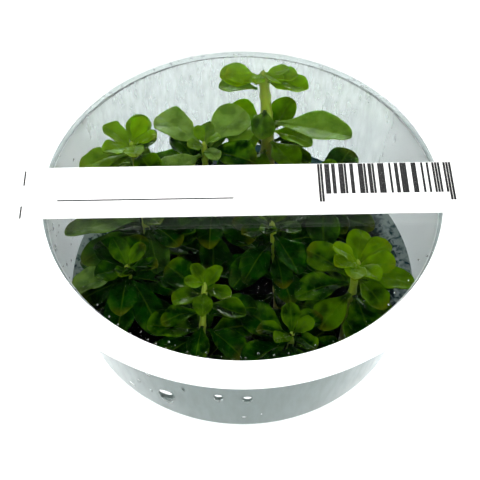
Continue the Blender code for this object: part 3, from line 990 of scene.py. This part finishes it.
# A blade from where it starts, its turn and rise in degrees, its length and width, and its droop.
def make_blade(base, turn, rise, length, width, droop, youth, damp, seed):
    heading = Vector((cos(radians(turn)), sin(radians(turn)), 0))
    up = Vector((0, 0, 1))
    start = heading * cos(radians(rise)) + up * sin(radians(rise))
    end = heading * cos(radians(rise - droop)) + up * sin(radians(rise - droop))
    bend = base + start * length / 2
    tip = bend + end * length / 2
    return Blade(base, bend, tip, Vector((-heading.y, heading.x, 0)), width, youth, damp, seed)


# Half the width of a blade at a share of its length, as a share of its greatest half width: a
# narrow stalk, then a widest place past the middle, and a rounded tip.
def outline(share, skew, base_fullness, tip_fullness):
    if share >= 1:
        return 0.03
    fullness = base_fullness + (tip_fullness - base_fullness) * share
    return max(sin(pi * share ** skew) ** fullness, STALK_SHARE * (1 - share))


# Points of a blade's rings, over the top from left to right and back underneath, the marks of each
# point, which are its place along the blade and across it, and how many points a ring has. Chance
# makes the outline ragged, ruffles the margins, and quilts and crumples the face between the veins.
def blade_rings(plant, blade, across=ACROSS, along=ALONG, swell=0.0):
    chance = Random(blade.seed)
    skew = OUTLINE_SKEW + chance.uniform(-0.1, 0.25)
    base_fullness = chance.uniform(0.75, 0.95)
    tip_fullness = chance.uniform(0.38, 0.62)
    twist = radians(chance.uniform(-20, 20))
    lean = chance.uniform(-0.08, 0.08)
    waves = chance.uniform(1.2, 2.2)
    phase = chance.uniform(0, 2 * pi)
    offset = Vector((chance.uniform(0, 50), chance.uniform(0, 50), 0))
    places = [-u for u in reversed(across)] + [0.0] + list(across)
    points = []
    marks = []
    for ring in range(along + 1):
        share = sin(pi / 2 * ring / along)
        middle = blade_point(blade, share)
        direction = blade_direction(blade, share)
        side = Quaternion(direction, twist * share) @ blade.side
        up = direction.cross(side).normalized()
        half = blade.width / 2 * outline(share, skew, base_fullness, tip_fullness)
        cupped = plant.cupping * min(1.0, 3 * share)
        loose = min(1, 4 * share) * min(1, 6 * (1 - share))
        top = []
        under = []
        for u in places:
            teeth = 0.07 * noise.noise(offset + Vector((share * 9, u, 0)))
            lobes = 0.09 * noise.noise(offset + Vector((share * 3, 7 + u, 0)))
            ragged = 1 + (teeth + lobes) * abs(u) + lean * u
            ruffle = plant.ruffle * blade.width * sin(2 * pi * waves * share + phase) * u * abs(u)
            quilt = 0.012 * blade.width * cos(2 * pi * (SIDE_VEINS * share - 1.3 * abs(u))) * (1 - u * u)
            crumple = 0.09 * blade.width * noise.noise(offset + Vector((share * 2.6, u * 1.3, 3)))
            groove = 0.03 * blade.width * exp(-(u / 0.09) ** 2)
            rise = cupped * half * u * u + (ruffle + quilt + crumple) * loose
            spot = middle + side * half * u * ragged + up * rise
            thick = plant.margin_thickness + (plant.leaf_thickness - plant.margin_thickness) * (1 - u ** 4)
            thick = thick / 2 + swell
            top.append((spot + up * (thick - groove * min(1, 5 * share)), u))
            under.append((spot - up * (thick + 1.3 * groove), u))
        for point, u in top + list(reversed(under)):
            points.append(point)
            marks.append((share, u))
    return points, marks, 2 * len(places)


# Holds a point clear of the wall, the lid and the gel.
def keep_inside(cup, point):
    low = GEL_HIGH.z + GEL_ROOM / 4
    high = SHEET_LOW.z - LID_ROOM / 2
    height = min(max(point.z, low), high)
    reach = inner_radius(cup, height) - WALL_ROOM / 2
    out = hypot(point.x, point.y)
    pull = min(1, reach / out) if out > 0 else 1
    return Vector((point.x * pull, point.y * pull, height))


# Adds blades to lists of points, faces and marks that one mesh is made of.
def grow_blades(cup, plant, blades, points, faces, marks):
    for blade in blades:
        first = len(points)
        rings, places, around = blade_rings(plant, blade)
        points += [keep_inside(cup, point) for point in rings]
        chance = Random(blade.seed).random()
        marks += [(share, u, chance, blade.youth, blade.damp) for share, u in places]
        faces += tube_faces(ALONG + 1, around, first)


# Writes each point's marks to a mesh, as the blade UV map and the growth attribute.
def write_marks(mesh, marks):
    uv = mesh.uv_layers.new(name="blade")
    for loop in mesh.loops:
        share, u = marks[loop.vertex_index][:2]
        uv.data[loop.index].uv = (share, abs(u))
    growth = mesh.color_attributes.new(name="growth", type="FLOAT_COLOR", domain="POINT")
    for index, (_, _, chance, youth, damp) in enumerate(marks):
        growth.data[index].color = (chance, youth, damp, 1)


# A point on the smooth line through a shoot's root, middle and tip.
def stem_point(shoot, share):
    foot = Vector((0, 0, GEL_HIGH.z + STEM_GAP))
    root, middle, tip = (Vector(place) * MM + foot for place in (shoot.root, shoot.middle, shoot.tip))
    pull = 2 * middle - (root + tip) / 2
    return root * (1 - share) ** 2 + pull * 2 * share * (1 - share) + tip * share ** 2


# A stem's radius at a share of its length.
def stem_radius(shoot, share):
    return shoot.radius * MM * (1 - (1 - STEM_TAPER) * share)


# Points of a stem's rings, a little thicker at each joint, with a rounded tip, and the counts of
# rings and of points in a ring.
def stem_rings(shoot):
    rings = 41
    sides = 14
    step = 0.02
    points = []
    for ring in range(rings):
        share = ring / (rings - 1)
        along = (stem_point(shoot, share + step) - stem_point(shoot, share - step)).normalized()
        if ring == 0:
            along = Vector((0, 0, 1))
        across = along.cross(Vector((0, -1, 0))).normalized()
        other = along.cross(across)
        swell = sum(exp(-((share - joint) / 0.022) ** 2) for joint in JOINTS)
        close = sqrt(max(0.05, 1 - max(0, (share - 0.95) / 0.05) ** 2))
        radius = stem_radius(shoot, share) * (1 + 0.2 * min(1, swell)) * close
        for side in range(sides):
            angle = 2 * pi * side / sides
            ridge = 1 + 0.05 * cos(4 * angle)
            offset = across * cos(angle) + other * sin(angle)
            points.append(stem_point(shoot, share) + offset * radius * ridge)
    return points, rings, sides


# Whether points lie inside the cup, over the gel and under the lid.
def inside_cup(cup, points):
    for point in points:
        if not GEL_HIGH.z + GEL_ROOM < point.z < SHEET_LOW.z - LID_ROOM:
            return False
        if hypot(point.x, point.y) > inner_radius(cup, point.z) - WALL_ROOM:
            return False
    return True


# Turns, rises and lengths tried in order for a leaf until it meets nothing, the few rings and
# places across it that stand for it meanwhile, and how much thicker they are.
TURN_TRIALS = (0, 6, -6, 12, -12, 19, -19, 27, -27, 36, -36)
RISE_TRIALS = (0, 8, -8, 16, -16, 25, -24, 35)
LENGTH_TRIALS = (1.0, 0.88, 0.76, 0.64, 0.54)
TRIAL_ACROSS = (0.6, 1.0)
TRIAL_ALONG = 5
TRIAL_SWELL = 0.1 * MM


# The blade nearest to the wanted stance that meets nothing in place, and its tree, or None twice.
# The function start gives its foot from its heading.
def find_room(cup, plant, start, turn, rise, length, width, droop, youth, damp, seed, placed):
    for shrink, lift, swing in product(LENGTH_TRIALS, RISE_TRIALS, TURN_TRIALS):
        heading = radians(turn + swing)
        base = start(heading)
        blade = make_blade(
            base, turn + swing, rise + lift, length * shrink, width * sqrt(shrink), droop, youth, damp, seed
        )
        points, _, around = blade_rings(plant, blade, TRIAL_ACROSS, TRIAL_ALONG, TRIAL_SWELL)
        if not inside_cup(cup, points):
            continue
        tree = BVHTree.FromPolygons(points, tube_faces(TRIAL_ALONG + 1, around))
        if not any(tree.overlap(other) for other in placed):
            return blade, tree
    return None, None


# The tree of a solid's faces.
def solid_tree(name):
    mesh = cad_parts[name].data
    return BVHTree.FromPolygons([v.co for v in mesh.vertices], [p.vertices for p in mesh.polygons])


# The function that gives a leaf's foot from its heading, at some reach from the stem's middle.
def foot_on(stem_middle, reach):
    return lambda heading: stem_middle + Vector((cos(heading), sin(heading), 0)) * reach


# One piece of blades, which take the last of its materials, and of a stem's points and faces where
# there are any.
def leafy_piece(name, cup, plant, blades, materials, points=(), faces=()):
    points = list(points)
    faces = list(faces)
    woody = len(faces)
    marks = [(0, 0, 0, 0, 0)] * len(points)
    grow_blades(cup, plant, blades, points, faces, marks)
    piece = add_mesh(name, points, faces, *materials)
    for face in piece.data.polygons[woody:]:
        face.material_index = len(materials) - 1
    write_marks(piece.data, marks)
    return piece


# The stems with the young leaves at their tips, one grown piece to a shoot.
def add_shoots(cup, plant):
    skin = leaf_skin(plant)
    bark = stem_skin(plant)
    crowns = []
    large = [solid_tree(name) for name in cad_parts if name.startswith("leaf_")]
    for number, shoot in enumerate(SHOOTS):
        blades = []
        own = []
        for index, young in enumerate(shoot.crown):
            inner = index / len(shoot.crown)
            at = 1 - CROWN_SPREAD * (1 - inner)
            size = young.length * MM
            blade, tree = find_room(
                cup, plant, foot_on(stem_point(shoot, at), stem_radius(shoot, at) * 0.35),
                young.turn, young.rise, size, size * CROWN_LEAF_WIDTH, CROWN_DROOP,
                min(1, shoot.youth + 0.25 * inner), shoot.damp * (1 - inner),
                100 * number + index,
                large + crowns,
            )
            if blade:
                blades.append(blade)
                own.append(tree)
        crowns += own
        points, rings, sides = stem_rings(shoot)
        piece = leafy_piece(
            "shoot_" + shoot.name, cup, plant, blades, (bark, skin), points, tube_faces(rings, sides)
        )
        settle(piece, "stem_olive", "stem_" + shoot.name)


# Youth with painted light, and damp, of the larger leaves that differ from their shoot in them, by name.
LEAF_LOOKS = {
    "back_1": (0.6, 0.35),
    "back_2": (0.55, 0.3),
    "back_4": (0.7, 0.15),
    "back_left_1": (0.7, 0.2),
    "back_left_2": (0.6, 0.3),
    "back_3": (0.3, 0.1),
    "back_middle_1": (0.5, 0.75),
    "back_middle_2": (0.5, 0.6),
    "back_middle_3": (0.45, 0.5),
    "left_1": (0.2, 0.5),
    "left_front_1": (0.2, 0.6),
    "right_1": (0.56, 0.0),
}


# The blade that a leaf's solid stands for. Its line runs from the middle of its narrow end, by
# way of its mass, to the middle of its far end.
def solid_blade(name, shoot, seed):
    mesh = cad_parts[name].data
    places = [v.co.copy() for v in mesh.vertices]
    stem = stem_point(shoot, 0.75)
    centre = sum(places, Vector()) / len(places)
    flat = Vector((centre.x - stem.x, centre.y - stem.y, 0)).normalized()

    # The leaf's heading, at first away from the stem, comes closer with each round.
    for _ in range(3):
        side = Vector((-flat.y, flat.x, 0))
        reach = [p.dot(flat) for p in places]
        low = min(reach)
        high = max(reach)
        end = 0.06 * (high - low)
        near = [p for p, r in zip(places, reach) if r < low + end]
        far = [p for p, r in zip(places, reach) if r > high - end]
        base = sum(near, Vector()) / len(near)
        tip = sum(far, Vector()) / len(far)
        flat = Vector((tip.x - base.x, tip.y - base.y, 0)).normalized()
    half = low + 0.48 * (high - low)
    half_way = [p for p, r in zip(places, reach) if abs(r - half) < 0.1 * (high - low)]
    middle = sum(half_way, Vector()) / len(half_way)
    across = [p.dot(side) for p in places]
    width = max(across) - min(across)
    share = (middle - base).dot(flat) / (tip - base).dot(flat)
    bend = (middle - base * (1 - share) ** 2 - tip * share ** 2) / (2 * share * (1 - share))
    youth, damp = LEAF_LOOKS.get(name[5:], (0.35 * shoot.youth, shoot.damp))
    return Blade(base, bend, tip, side, width, youth, damp, seed)


# The larger leaves, each in place of its solid.
def add_leaves(cup, plant):
    skin = leaf_skin(plant)
    for number, shoot in enumerate(SHOOTS):
        for index in range(LARGE_LEAVES):
            name = "leaf_%s_%d" % (shoot.name, index + 1)
            blade = solid_blade(name, shoot, LARGE_LEAF_SEED + 10 * number + index)
            piece = leafy_piece(name.replace("leaf", "blade"), cup, plant, [blade], [skin])
            settle(piece, "leaf_green", name)


# The shares of a stem's length between which small leaves grow, and the upper one for the shoots
# where it differs.
LEAFY_FROM = 0.22
LEAFY_TO = 0.88
LEAFY_SHARE = {"back": 0.5}

# Least and greatest length in mm, rise and droop in degrees, width as a share of the length, and
# youth with painted light as a share of the shoot's, of the small leaves.
LOWER_LENGTHS = (8.5, 12.5)
LOWER_RISES = (4, 22)
LOWER_DROOPS = (14, 34)
LOWER_WIDTHS = (0.56, 0.68)
LOWER_YOUTH_AND_LIGHT = (0.2, 0.8)


# Smaller leaves lower on each stem, in what room the others leave, one joined piece to a shoot.
def add_lower_leaves(cup, plant):
    skin = leaf_skin(plant)
    placed = [solid_tree(name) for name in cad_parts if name.startswith(("leaf_", "stem_"))]
    for number, shoot in enumerate(SHOOTS):
        chance = Random(STANCE_SEED + number)
        blades = []
        first_turn = chance.uniform(0, 360)
        leafy = LEAFY_SHARE.get(shoot.name, LEAFY_TO)
        for index in range(plant.lower_leaves):
            at = LEAFY_FROM + (leafy - LEAFY_FROM) * index / max(1, plant.lower_leaves - 1)
            size = chance.uniform(*LOWER_LENGTHS) * MM
            blade, tree = find_room(
                cup, plant, foot_on(stem_point(shoot, at), stem_radius(shoot, at) + 0.2 * MM),
                first_turn + NEXT_TURN * index, chance.uniform(*LOWER_RISES),
                size, size * chance.uniform(*LOWER_WIDTHS), chance.uniform(*LOWER_DROOPS),
                shoot.youth * chance.uniform(*LOWER_YOUTH_AND_LIGHT), 0.0,
                LOWER_LEAF_SEED + 100 * number + index,
                placed,
            )
            if blade:
                blades.append(blade)
                placed.append(tree)
        settle(leafy_piece("lower_leaves_" + shoot.name, cup, plant, blades, [skin]), "leaf_green")


# The larger drops on the front of the wall: the angle and height where they hang, in degrees and
# mm, their radius, how long they are drawn out, how far that leans from straight down, and how
# much they narrow that way.
FRONT_DROPS = (
    (-113.5, 11.8, 1.8, 1.3, 0.45, 0.6),
    (-97.0, 18.2, 1.1, 1.15, 0.0, 0.0),
    (-88.5, 18.0, 1.15, 1.05, 0.0, 0.0),
    (-119.0, 19.4, 0.35, 2.4, 6.0, 0.0),
    (-124.0, 12.3, 0.35, 1.5, 3.0, 0.0),
    (-128.5, 6.2, 0.4, 2.2, 2.5, 0.0),
    (-120.0, 10.1, 0.3, 1.3, 3.0, 0.0),
    (-107.5, 18.9, 0.35, 1.9, 0.3, 0.0),
    (-102.0, 23.5, 0.45, 2.0, 5.0, 0.0),
    (-89.5, 6.9, 0.22, 2.2, 9.0, 0.0),
    (-84.0, 8.2, 0.16, 1.4, 9.0, 0.0),
)


# How many small drops and beads there are on the outside of the wall, on its inside, on the gel
# and under the clear sheet.
FINE_DROPS = 26
INNER_BEADS = 110
GEL_BEADS = 70
SHEET_BEADS = 90


# Adds one drop that stands on a surface: a cap of some radius and height, stretched along one way
# and narrower towards that end.
def add_drop(
    centre, normal, radius, height, stretch, along, points, faces, sides=14, rings=4, taper=0.0
):
    first = len(points)
    normal = normal.normalized()
    long_way = (along - normal * along.dot(normal)).normalized()
    wide_way = normal.cross(long_way)
    for ring in range(rings):
        angle = pi / 2 * ring / rings
        for side in range(sides):
            turn = 2 * pi * side / sides
            spread = radius * cos(angle)
            wide = spread * (1 - taper * cos(turn))
            flat = long_way * cos(turn) * spread * stretch + wide_way * sin(turn) * wide
            points.append(centre + flat + normal * height * sin(angle))
    points.append(centre + normal * height)
    faces.append(tuple(first + side for side in reversed(range(sides))))
    for ring in range(rings - 1):
        low = first + ring * sides
        faces += band_faces(low, low + sides, sides)
    faces += fan_faces(first + (rings - 1) * sides, len(points) - 1, sides)


# Drops on the wall's outside at the front, beads on its inside, on the gel and under the sheet.
def add_drops(cup):
    clear = water()
    down = Vector((0, 0, -1))
    chance = Random(DROP_SEED)

    # A place on the wall at an angle and height, and the way that the wall faces there.
    def wall_spot(angle, height, out):
        radius = inner_radius(cup, height) + (cup.wall if out > 0 else 0)
        heading = Vector((cos(angle), sin(angle), 0))
        return heading * (radius + out * 0.01 * MM) + Vector((0, 0, height)), heading * out

    # On the wall's outside: the larger drops at the front, and fine ones at the front's right.
    points = []
    faces = []
    for angle, height, size, stretch, lean, taper in FRONT_DROPS:
        spot, normal = wall_spot(radians(angle), height * MM, 1)
        slope = down + normal.cross(down) * lean
        add_drop(spot, normal, size * MM, 0.7 * size * MM, stretch, slope, points, faces, 28, 8, taper)
    for _ in range(FINE_DROPS):
        spot, normal = wall_spot(radians(chance.uniform(-62, -40)), chance.uniform(18, 33) * MM, 1)
        size = chance.uniform(0.12, 0.3) * MM
        add_drop(spot, normal, size, 0.5 * size, chance.uniform(1, 1.8), down, points, faces)
    settle(add_mesh("wall_drops", points, faces, wall_water()), "clear_sheet")

    # On the wall's inside, round the left.
    points = []
    faces = []
    for _ in range(INNER_BEADS):
        spot, normal = wall_spot(radians(chance.gauss(205, 20)), chance.uniform(8.2, 30) * MM, -1)
        size = chance.uniform(0.15, 0.5) * MM
        add_drop(spot, normal, size, 0.55 * size, chance.uniform(1, 2.2), down, points, faces)
    settle(add_mesh("inner_beads", points, faces, clear), "clear_sheet")

    # On the gel near the wall, at the left front.
    points = []
    faces = []
    for _ in range(GEL_BEADS):
        angle = radians(chance.gauss(212, 7))
        radius = inner_radius(cup, GEL_HIGH.z) - chance.uniform(1.0, 6.5) * MM
        spot = Vector((radius * cos(angle), radius * sin(angle), GEL_HIGH.z - 0.2 * MM))
        size = chance.uniform(0.2, 0.6) * MM
        way = Vector((cos(angle + 1.2), sin(angle + 1.2), 0))
        add_drop(spot, -down, size, 0.5 * size, chance.uniform(1, 2.6), way, points, faces)
    settle(add_mesh("gel_beads", points, faces, clear), "clear_sheet")

    # Under the sheet, along the ring's edge in front.
    points = []
    faces = []
    for _ in range(SHEET_BEADS):
        angle = radians(chance.gauss(-100, 40))
        radius = cup.ring_inner - abs(chance.gauss(0, 1.1)) * MM
        spot = Vector((radius * cos(angle), radius * sin(angle), SHEET_LOW.z - 0.01 * MM))
        size = chance.uniform(0.10, 0.28) * MM
        add_drop(spot, down, size, 0.4 * size, 1.0, Vector((1, 0, 0)), points, faces)
    settle(add_mesh("sheet_beads", points, faces, clear), "clear_sheet")


# The pale floor.
def add_floor(stage):
    material = new_material("pale_floor", Base_Color=(*stage.floor, 1), Roughness=0.7)[0]
    reach = 3.0
    corners = [(-reach, -reach, 0), (reach, -reach, 0), (reach, reach, 0), (-reach, reach, 0)]
    floor = add_mesh("floor", corners, [(0, 1, 2, 3)], material)


# A square area light that faces the cup.
def add_area_light(name, power, size, place):
    light = bpy.data.lights.new(name, "AREA")
    light.size = size
    light.energy = power
    box = bpy.data.objects.new(name, light)
    box.location = place
    box.rotation_euler = box.location.to_track_quat("Z", "Y").to_euler()
    bpy.context.scene.collection.objects.link(box)


# Heights in degrees over which the bright horizon fades to a dim sky, and the dim sky to a dark
# one, each with the share of the light that it leaves, and the horizon's strength in front.
HORIZON_FADE = (8, 17, 0.1)
SKY_FADE = (32, 39, 0.002)
FRONT_HORIZON = 0.3

# Widths and places of the lights, in metres.
SOFTBOX_SIZE = 0.7
SOFTBOX_PLACE = (0, -0.48, 0.64)
BACK_LIGHT_SIZE = 0.24
BACK_LIGHT_PLACE = (0, 0.9, 0.27)


# White light from a bright horizon, from a large softbox high in front of the cup, and from a
# small one low behind it. Behind the cup all is dim higher up, where the clear sheet would mirror
# it into the camera.
def add_light(stage):
    world = bpy.data.worlds.new("white_horizon")
    bpy.context.scene.world = world
    world.use_nodes = True
    tree = world.node_tree
    sky = tree.nodes["Background"]
    heading = add_node(tree, "ShaderNodeTexCoord")
    parts = add_node(tree, "ShaderNodeSeparateXYZ", {"Vector": heading.outputs["Generated"]})
    fades = [
        add_node(
            tree, "ShaderNodeMapRange",
            {
                "Value": parts.outputs["Z"],
                "From Min": sin(radians(low)), "From Max": sin(radians(high)),
                "To Min": 1.0, "To Max": left,
            },
            interpolation_type="SMOOTHSTEP",
        )
        for low, high, left in (SKY_FADE, HORIZON_FADE)
    ]
    band = add_node(
        tree, "ShaderNodeMath", {0: fades[0].outputs["Result"], 1: fades[1].outputs["Result"]},
        operation="MULTIPLY",
    )
    behind = add_node(
        tree, "ShaderNodeMapRange",
        {
            "Value": parts.outputs["Y"], "From Min": -0.75, "From Max": -0.2,
            "To Min": FRONT_HORIZON, "To Max": stage.horizon,
        },
        interpolation_type="SMOOTHSTEP",
    )
    strength = add_node(
        tree, "ShaderNodeMath", {0: band.outputs[0], 1: behind.outputs["Result"]},
        operation="MULTIPLY",
    )
    feed(tree, sky, {"Color": linear("#FAFCFF"), "Strength": strength.outputs[0]})
    add_area_light("softbox", stage.softbox, SOFTBOX_SIZE, SOFTBOX_PLACE)
    add_area_light("back_light", stage.back_light, BACK_LIGHT_SIZE, BACK_LIGHT_PLACE)


# The side of the square picture, and the place in it of the middle of the lid's top, in pixels.
PICTURE = 480
LID_AT = (242.4, 187.7)


# The camera, turned so that the middle of the lid's top stands in its place in the picture.
def add_camera(stage):
    data = bpy.data.cameras.new("camera")
    data.sensor_width = 36
    data.lens = stage.focal_length
    data.clip_start = 0.01
    camera = bpy.data.objects.new("camera", data)
    bpy.context.scene.collection.objects.link(camera)
    back = Vector((0, -cos(stage.elevation), sin(stage.elevation)))
    camera.location = Vector((0, 0, RING_HIGH.z)) + back * stage.distance
    focal_pixels = data.lens / data.sensor_width * PICTURE
    yaw = atan2(LID_AT[0] - PICTURE / 2, focal_pixels)
    pitch = atan2(LID_AT[1] - PICTURE / 2, focal_pixels)
    look = back.to_track_quat("Z", "Y") @ Quaternion((0, 1, 0), yaw) @ Quaternion((1, 0, 0), pitch)
    camera.rotation_mode = "QUATERNION"
    camera.rotation_quaternion = look
    bpy.context.scene.camera = camera


class CULTURECUP_OT_add_stage(bpy.types.Operator):
    """Add the pale floor, the soft light and the camera"""

    bl_idname = "culturecup.add_stage"
    bl_label = "Stage"

    def execute(self, context):
        stage = context.scene.culture_stage
        add_floor(stage)
        add_light(stage)
        add_camera(stage)
        context.scene.view_settings.view_transform = "Standard"
        return {"FINISHED"}


class CULTURECUP_OT_add_cup(bpy.types.Operator):
    """Add the milky cup"""

    bl_idname = "culturecup.add_cup"
    bl_label = "Cup"

    def execute(self, context):
        add_cup(context.scene.culture_cup)
        return {"FINISHED"}


class CULTURECUP_OT_add_lid(bpy.types.Operator):
    """Add the clear sheet and the white ring"""

    bl_idname = "culturecup.add_lid"
    bl_label = "Lid"

    def execute(self, context):
        add_sheet(context.scene.culture_cup)
        add_ring(context.scene.culture_cup)
        return {"FINISHED"}


class CULTURECUP_OT_add_strip(bpy.types.Operator):
    """Add the paper strip and its print"""

    bl_idname = "culturecup.add_strip"
    bl_label = "Paper strip"

    def execute(self, context):
        add_strip(context.scene.culture_strip)
        return {"FINISHED"}


class CULTURECUP_OT_add_gel(bpy.types.Operator):
    """Add the dark gel"""

    bl_idname = "culturecup.add_gel"
    bl_label = "Gel"

    def execute(self, context):
        add_gel(context.scene.culture_cup)
        return {"FINISHED"}


class CULTURECUP_OT_add_shoots(bpy.types.Operator):
    """Add the stems with the young leaves at their tips"""

    bl_idname = "culturecup.add_shoots"
    bl_label = "Shoots"

    def execute(self, context):
        add_shoots(context.scene.culture_cup, context.scene.culture_plant)
        return {"FINISHED"}


class CULTURECUP_OT_add_leaves(bpy.types.Operator):
    """Add the larger leaves"""

    bl_idname = "culturecup.add_leaves"
    bl_label = "Leaves"

    def execute(self, context):
        add_leaves(context.scene.culture_cup, context.scene.culture_plant)
        return {"FINISHED"}


class CULTURECUP_OT_add_lower_leaves(bpy.types.Operator):
    """Add the smaller leaves lower on the stems"""

    bl_idname = "culturecup.add_lower_leaves"
    bl_label = "Lower leaves"

    def execute(self, context):
        add_lower_leaves(context.scene.culture_cup, context.scene.culture_plant)
        return {"FINISHED"}


class CULTURECUP_OT_add_drops(bpy.types.Operator):
    """Add drops and beads of water on the wall, on the gel and under the clear sheet"""

    bl_idname = "culturecup.add_drops"
    bl_label = "Drops"

    def execute(self, context):
        add_drops(context.scene.culture_cup)
        return {"FINISHED"}


SETTINGS = (
    ("culture_cup", CupSettings),
    ("culture_strip", StripSettings),
    ("culture_plant", PlantSettings),
    ("culture_stage", StageSettings),
)
OPERATORS = (
    CULTURECUP_OT_add_stage,
    CULTURECUP_OT_add_cup,
    CULTURECUP_OT_add_lid,
    CULTURECUP_OT_add_strip,
    CULTURECUP_OT_add_gel,
    CULTURECUP_OT_add_shoots,
    CULTURECUP_OT_add_leaves,
    CULTURECUP_OT_add_lower_leaves,
    CULTURECUP_OT_add_drops,
)


class CULTURECUP_PT_pieces(bpy.types.Panel):
    """Settings of the culture cup, and a button for each of its pieces"""

    bl_label = "Culture Cup"
    bl_space_type = "VIEW_3D"
    bl_region_type = "UI"
    bl_category = "Culture Cup"

    def draw(self, context):
        for operator in OPERATORS:
            self.layout.operator(operator.bl_idname)
        for attribute, group in SETTINGS:
            box = self.layout.box()
            box.label(text=group.__doc__)
            for name in group.__annotations__:
                box.prop(getattr(context.scene, attribute), name)


def register():
    for attribute, group in SETTINGS:
        bpy.utils.register_class(group)
        setattr(bpy.types.Scene, attribute, PointerProperty(type=group))
    for operator in OPERATORS:
        bpy.utils.register_class(operator)
    bpy.utils.register_class(CULTURECUP_PT_pieces)


def unregister():
    bpy.utils.unregister_class(CULTURECUP_PT_pieces)
    for operator in reversed(OPERATORS):
        bpy.utils.unregister_class(operator)
    for attribute, group in reversed(SETTINGS):
        delattr(bpy.types.Scene, attribute)
        bpy.utils.unregister_class(group)


def main():
    register()
    for operator in OPERATORS:
        getattr(bpy.ops.culturecup, operator.bl_idname.split(".")[1])()


if __name__ == "__main__":
    main()
